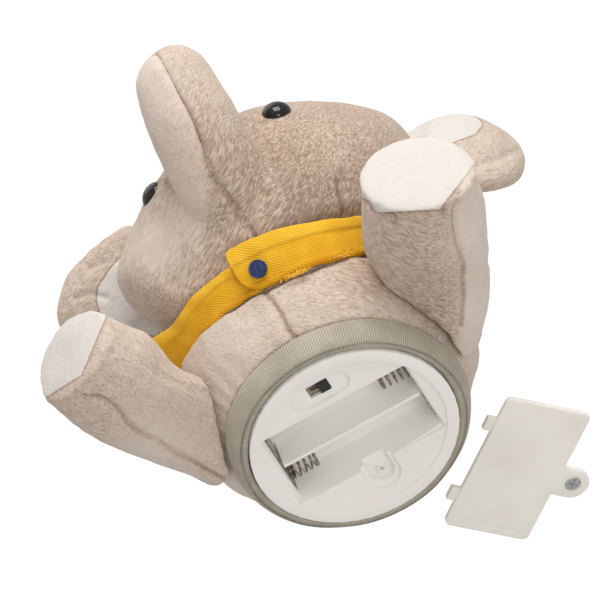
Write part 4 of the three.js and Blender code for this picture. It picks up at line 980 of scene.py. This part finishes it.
# Each lining's outline in the photograph, in millimetres right and up of its middle.
lining_corners = {
    "left": [(38, 80), (74, 80), (68.6, 65.6), (66, 62.6), (55.8, 58.8), (49.3, 57), (38, 56)],
    "right": [(-67.5, 17.1), (-50, 17.1), (-50, -15.2), (-68.4, -9.8), (-76, -4.5), (-77.3, 0),
              (-76.7, 4.9), (-72.5, 11.4)],
}
oval_place, oval_share = np.array((0.26, 0.595)), np.array((0.365, 0.295))
oval_corners = 24
ear_smoothing = {"left": 40, "right": 10}
for side in ("left", "right"):
    node_low, node_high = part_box(f"{side}_ear")
    ear = stuffed(f"plush_{side}_ear", [f"{side}_ear", f"{side}_ear_lining"], 2.0 * MM, [], 1.2 * MM,
                  stands_for=[f"{side}_ear"])
    modified(ear, "SMOOTH", factor=0.5, iterations=ear_smoothing[side])
    marked(ear, "seam", np.zeros(len(ear.data.vertices)))
    drawn(ear, *ear_pulls[side])
    for crease in ear_creases[side]:
        creased(ear, crease, 1.0, 1.4 * MM)
    # Painted light and shade: the left ear's pile a little paler, the right ear's a little darker.
    painted_light_and_shade(ear, (76, 55, 40, 0.1), (-75, 8, 30, -0.1))
    napped(ear, 0.2, 0.2)
    ear_coat = plush_coat(f"beige_plush_{side}_ear", 20, beige)
    ear.data.materials.append(ear_coat.material)
    body = f"{side}_ear_body"
    hinge = Vector(ear_joints[body]["pos_m"])
    away = ((node_low + node_high) / 2 - hinge).normalized()
    skin = points_of(ear)
    ear_middle = skin.mean(axis=0)
    face = Vector(np.linalg.eigh(np.cov((skin - ear_middle).T))[1][:, 0])
    face = face * math.copysign(1, face.dot(camera_back))
    planes = view_planes(*lining_corners[side]) + [(Vector(ear_middle), -face)]
    if side == "left":
        # This ear is seen almost along its face, so the far edge of its lining is an oval on the ear.
        ear_out = (away - face * away.dot(face)).normalized()
        ear_up = face.cross(ear_out)
        ear_up = ear_up * math.copysign(1, ear_up.z)
        spans = skin @ np.array([ear_out, ear_up]).T
        spans_low, spans_size = spans.min(axis=0), np.ptp(spans, axis=0)
        oval_middle = spans_low + spans_size * oval_place
        oval_size = spans_size * oval_share
        for turn in np.linspace(0, 2 * np.pi, oval_corners, endpoint=False):
            way = np.array((math.cos(turn), math.sin(turn)))
            out, up = oval_middle + oval_size * way
            place = ear_out * out + ear_up * up + face * face.dot(Vector(ear_middle))
            across, rise = way / oval_size
            planes.append((place, (ear_out * across + ear_up * rise).normalized()))
    lining = patched(f"plush_{side}_ear_lining", ear, f"{side}_ear_lining", planes, 0.5)
    lining_coat = plush_coat(f"white_plush_{side}_lining", 20, white, 0.3, 0.4)
    lining.data.materials.append(lining_coat.material)
    for cloth in (ear, lining):
        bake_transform(cloth)


# Collar: a folded strip of yellow twill round the neck. Its top edge is turned over to the outside and
# its lower edge is rolled into a stitched hem. One end laps over the other at the front.
neck_half_width, neck_half_depth = 56 * MM, 50.4 * MM
neck_lean = 0.3
collar_place = (
    Matrix.Translation(base_middle + Vector((2.5, -9.4, 62.6)) * MM)
    @ Matrix.Rotation(0.36, 4, "X")
    @ Matrix.Rotation(0.05, 4, "Y")
)
strip_radius = 100 * MM
# The strip's section: how far up and how far out each of its corners is, in millimetres.
strip_section = [
    (-8.0, 0.2), (-8.4, 0.8), (-8.1, 1.5), (-7.3, 1.85), (-6.4, 1.7), (-5.9, 1.15), (-5.3, 1.35),
    (-2.5, 1.5), (0.5, 1.5), (2.3, 1.4), (2.5, 1.95), (3.1, 2.2), (5.6, 2.15), (7.5, 1.9), (8.15, 1.4),
    (8.2, 0.8), (7.8, 0.2), (4, 0.05), (0, 0), (-4, 0.05),
]


def round_neck(angle, up, out):
    """Points on the leaning oval of the neck, from the angle round from the front, up and out."""
    away = neck_lean * up + out
    flat = np.stack([(neck_half_width + away) * np.sin(angle), -(neck_half_depth + away) * np.cos(angle),
                     up + 0 * angle, 1 + 0 * angle], axis=-1)
    return (flat @ np.array(collar_place).T)[..., :3]


def neck_strip(name, steps, arc):
    """The strip's section spun round from the front: returns the piece and each point's place in it."""
    bpy.ops.mesh.primitive_circle_add(vertices=len(strip_section), radius=1, fill_type="NOTHING")
    strip = bpy.context.object
    strip.name = name
    corners = np.array(strip_section) * MM
    move_points(strip, np.stack([0 * corners[:, 0], -strip_radius - corners[:, 1], corners[:, 0]], axis=1))
    with editing(strip):
        bpy.ops.mesh.spin(steps=steps, angle=arc, center=(0, 0, 0), axis=(0, 0, 1))
        bpy.ops.mesh.select_all(action="SELECT")
        bpy.ops.mesh.remove_doubles(threshold=weld_reach)
        if arc < 6:
            # An open strip's two ends are closed.
            bpy.ops.mesh.select_all(action="SELECT")
            bpy.ops.mesh.fill_holes(sides=0)
    spun = points_of(strip)
    angle = np.arctan2(spun[:, 0], -spun[:, 1])
    return strip, angle, spun[:, 2], np.hypot(spun[:, 0], spun[:, 1]) - strip_radius


def woven(strip, angle, up):
    """Lays the weave along the strip: a map in metres, along it and across it."""
    weave = strip.data.uv_layers.new(name="weave")
    corners = np.empty(len(strip.data.loops), int)
    strip.data.loops.foreach_get("vertex_index", corners)
    along = angle[corners]
    for face in strip.data.polygons:
        turn = along[face.loop_start:face.loop_start + face.loop_total]
        if turn.max() - turn.min() > math.pi:
            turn[turn < 0] += 2 * math.pi
    flat = np.stack([along * neck_half_width, up[corners]], axis=1)
    weave.data.foreach_set("uv", flat.ravel())


def rumpled(angle, up, amount):
    """Slow waves that cloth takes up round a neck."""
    slow = np.sin(9 * angle + 140 * up) + 0.7 * np.sin(17 * angle - 260 * up + 1.3)
    drag = np.sin(31 * angle + 420 * up) * np.sin(5 * angle + 2)
    return amount * MM * (slow + 0.8 * drag)


collar, turn, up, out = neck_strip("twill_collar", 260, 2 * math.pi)
woven(collar, turn, up)
hem_wave = 0.25 * MM * np.sin(41 * turn + 2 * np.sin(7 * turn)) * (up < -5 * MM)
# The chin presses the strip's upper half down in front; it stands at its full width round the rest.
freed = np.clip((-turn - 0.75) / 0.4, 0, 1) + np.clip((turn - 1.6) / 0.5, 0, 1)
pressed_up = np.where(up > 0, (0.62 + 0.38 * freed) * up, up)
move_points(collar, round_neck(turn, pressed_up + hem_wave, out + rumpled(turn, up, 0.3)))
outward(collar)
collar_pull = (-50, -13, 1, -3.5, 14)
drawn(collar, collar_pull, (-53.5, -15, -4.6, 1.4, 6))
smoothed(finer(collar))

flap_start, flap_arc = -0.21, 1.25
flap_low_round, flap_top_round = 8.0 * MM, 2.5 * MM
flap_half, strip_half, flap_top_far = 9.2 * MM, 8.2 * MM, 5.2 * MM
flap_lift, flap_end_lift = 3.0 * MM, 0.9 * MM


def corner_inset(along, radius):
    """How far a rounded corner draws an edge in, at a distance along from the end."""
    rest = np.clip(radius - along, 0, radius)
    return radius - np.sqrt(radius ** 2 - rest ** 2)


flap, turn, up, out = neck_strip("twill_collar_flap", 110, flap_arc)
share = np.abs(turn) / flap_arc
along = share * flap_arc * neck_half_width
half = flap_half + (strip_half - flap_half) * share
low = -half + corner_inset(along, flap_low_round)
high = flap_half + (flap_top_far - flap_half) * np.clip(1.6 * share, 0, 1) ** 1.5
high = high - corner_inset(along, flap_top_round)
# The free end's sharp corners keep the hem's width, so only the middle of the strip is narrowed.
height = up / strip_half
flap_up = np.where(height < 0, low * -height + 0.12 * (low + high) * (1 + height),
                   high * height + 0.12 * (low + high) * (1 - height))
flap_turn = flap_start + share * flap_arc
woven(flap, flap_turn, up)
end_roll = bell(along / (1.2 * MM)) * 0.35 * MM
lift = flap_lift + (flap_end_lift - flap_lift) * share ** 1.4
move_points(flap, round_neck(flap_turn, flap_up, out + lift + end_roll + rumpled(flap_turn, up, 0.26)))
outward(flap)
smoothed(finer(flap))

twill_pitch = 0.85 * MM
hem_line = -5.9 * MM
stitch_lift = 1.25 * MM
twill_coat = Coat("yellow_twill", Roughness=0.85, Specular_IOR_Level=0.15)
weave_map = twill_coat.node("ShaderNodeUVMap", {"uv_map": "weave"})
weave_along = twill_coat.node("ShaderNodeSeparateXYZ", None, [weave_map])
weave_across = Strand(twill_coat, weave_along.socket.node.outputs[1])
waves = 2 * math.pi / twill_pitch
diagonal = twill_coat.maths("SINE", (0.55 * weave_along + 0.83 * weave_across) * waves)
counter = twill_coat.maths("SINE", (0.9 * weave_along - 0.4 * weave_across) * (1.7 * waves))
turned_over = twill_coat.maths("GREATER_THAN", weave_across, 2.4 * MM)
# The rolled hem is painted darker: painted shade.
hem_painted_shade = twill_coat.maths("LESS_THAN", weave_across, hem_line)
twill_cloud = twill_coat.noise(140, 3)
yarn_and_hem_shade = 0.5 + 0.17 * diagonal + 0.06 * counter + 0.5 * (twill_cloud - 0.5)
yarn_and_hem_shade = yarn_and_hem_shade + 0.12 * turned_over - 0.14 * hem_painted_shade
twill_coat.colour(twill_coat.ramp(yarn_and_hem_shade, (0.15, (0.56, 0.235, 0.008)), (0.45, (0.74, 0.38, 0.014)),
                                  (0.85, (0.90, 0.57, 0.055))))
twill_coat.bumped(0.5 + 0.4 * diagonal + 0.1 * counter, 0.16 * MM, 0.7)
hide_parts("collar")
dressed(collar, twill_coat)
dressed(flap, twill_coat)

# The hem's stitches: short bars of yellow thread, one drawn and the rest copied along the strip.
stitch_length, stitch_width, stitch_gap = 1.7 * MM, 0.26 * MM, 1.0 * MM
bpy.ops.mesh.primitive_uv_sphere_add(segments=8, ring_count=6, radius=1)
stitch = bpy.context.object
stitch_shape = stitch.data.copy()
stitch_shape.transform(Matrix.Diagonal((stitch_length / 2, stitch_width, stitch_width * 0.8, 1)))
bpy.data.objects.remove(stitch)


def stitched(name, places):
    """Copies the stitch to each place: its middle, the way it runs and the way it faces."""
    thread = bmesh.new()
    for middle, way, out_way in places:
        way, out_way = Vector(way).normalized(), Vector(out_way).normalized()
        side = out_way.cross(way).normalized()
        copy = stitch_shape.copy()
        copy.transform(Matrix.Translation(Vector(middle)) @ facing(way, side, way.cross(side)).to_4x4())
        thread.from_mesh(copy)
        bpy.data.meshes.remove(copy)
    mesh = bpy.data.meshes.new(name)
    thread.to_mesh(mesh)
    thread.free()
    return smoothed(linked(name, mesh))


def neck_run(angles, up, out):
    """Places along the strip for its stitches."""
    angles = np.asarray(angles)
    up, out = up + 0 * angles, out + 0 * angles
    here = round_neck(angles, up, out)
    ahead = round_neck(angles + 0.01, up, out)
    proud = round_neck(angles, up, out + 1 * MM)
    return [(h, a - h, q - h) for h, a, q in zip(here, ahead, proud)]


stitch_pitch = (stitch_length + stitch_gap) / neck_half_width
band_turns = np.arange(-math.pi, math.pi - stitch_pitch / 2, stitch_pitch)
flap_turns = np.arange(flap_start + 7.5 * MM / neck_half_width, flap_start + flap_arc * 0.97, stitch_pitch)
flap_share = (flap_turns - flap_start) / flap_arc
flap_hem = -5.9 / 8.2 * (flap_half + (strip_half - flap_half) * flap_share)
flap_rise = flap_lift + (flap_end_lift - flap_lift) * flap_share ** 1.4
places = neck_run(band_turns, hem_line, stitch_lift)
places += neck_run(flap_turns, flap_hem, flap_rise + stitch_lift)
stitches = stitched("collar_hem_stitches", places)
drawn(stitches, collar_pull)

# Under the flap's hem a cut end of the twill has frayed into a tuft, and two loose ends of thread hang.
fray = []
chance = np.random.default_rng(7)
for strand in range(70):
    start = round_neck(np.array(chance.uniform(0.05, 0.24)), -8.6 * MM, chance.uniform(4.2, 6.0) * MM)
    down = round_neck(np.array(0.15 + chance.normal(0, 0.06)), -12.5 * MM, 6.2 * MM) - start
    fray.append((start + 0.6 * down * chance.uniform(0.5, 1), down + chance.normal(0, 0.8, 3) * MM,
                 np.array(camera_back)))
for turn_at, fall in ((0.42, 0.5), (0.47, 0.9), (0.60, 0.3)):
    start = round_neck(np.array(turn_at), -8.8 * MM, 4.8 * MM)
    for bit in range(4):
        way = np.array(view_way(0.9, 0.5 - 0.3 * bit * fall))
        fray.append((start + way * bit * 1.3 * MM, way, np.array(camera_back)))
frayed = stitched("frayed_collar_threads", fray)
thread_coat = Coat("yellow_thread", Roughness=0.7)
thread_coat.grained(900, 2, (0.3, (0.62, 0.30, 0.012)), (0.7, (0.86, 0.52, 0.05)))
dressed(stitches, thread_coat)
dressed(frayed, thread_coat)

# Snap: a navy enamelled cap with a rolled rim and a shallow dish, pressed through the flap.
snap_middle, snap_facing = Vector((-3.3017, -44.0122, 40.9942)) * MM, Vector((-0.07, -0.7948, -0.6028))
snap_radius, snap_height, snap_rim = 3.5 * MM, 1.5 * MM, 0.7 * MM
bpy.ops.mesh.primitive_cylinder_add(vertices=48, radius=snap_radius, depth=snap_height,
                                    location=(0, 0, snap_height / 2))
snap = bpy.context.object
snap.name = "navy_snap_cap"
bpy.ops.object.transform_apply(location=True)
only(snap)
bpy.ops.object.mode_set(mode="EDIT")
bpy.ops.mesh.select_all(action="DESELECT")
bpy.ops.object.mode_set(mode="OBJECT")
for face in snap.data.polygons:
    face.select = face.normal.z > 0.9
bpy.ops.object.mode_set(mode="EDIT")
bpy.ops.mesh.inset(thickness=snap_rim)
bpy.ops.transform.translate(value=(0, 0, -0.3 * MM))
bpy.ops.mesh.inset(thickness=0.25 * MM)
bpy.ops.mesh.inset(thickness=1.0 * MM)
bpy.ops.transform.translate(value=(0, 0, 0.28 * MM))
bpy.ops.object.mode_set(mode="OBJECT")
eased(snap, 0.22 * MM, 3)
snap_turn = Vector((0, 0, 1)).rotation_difference(snap_facing).to_matrix().to_4x4()
snap.data.transform(Matrix.Translation(snap_middle) @ snap_turn)
navy_coat = Coat("navy_enamel", Metallic=0.15)
navy_wear = navy_coat.grained(800, 4, (0.35, (0.008, 0.014, 0.055)), (0.7, (0.03, 0.06, 0.2)))
navy_coat.roughness(0.22 + 0.25 * navy_wear)
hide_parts("snap_cap")
dressed(snap, navy_coat)


# Floor: a plain pale sheet, seen from above alone.
bpy.ops.mesh.primitive_plane_add(size=6, location=(0, 0, -0.02 * MM))
floor = bpy.context.object
floor.name = "floor"
floor_coat = Coat("pale_floor", Roughness=0.9)
floor_coat.grained(3, 1, (0.3, (0.86, 0.86, 0.86)), (0.7, (0.88, 0.88, 0.88)))
behind = floor_coat.node("ShaderNodeNewGeometry", output="Backfacing")
clear = floor_coat.node("ShaderNodeBsdfTransparent")
sided = floor_coat.node("ShaderNodeMixShader", None, [
    behind, Strand(floor_coat, floor_coat.shader.outputs[0]), clear])
floor_coat.tree.links.new(sided.socket, floor_coat.tree.nodes["Material Output"].inputs["Surface"])
floor.data.materials.append(floor_coat.material)
floor.visible_shadow = False
floor.visible_diffuse = False
floor.visible_glossy = False
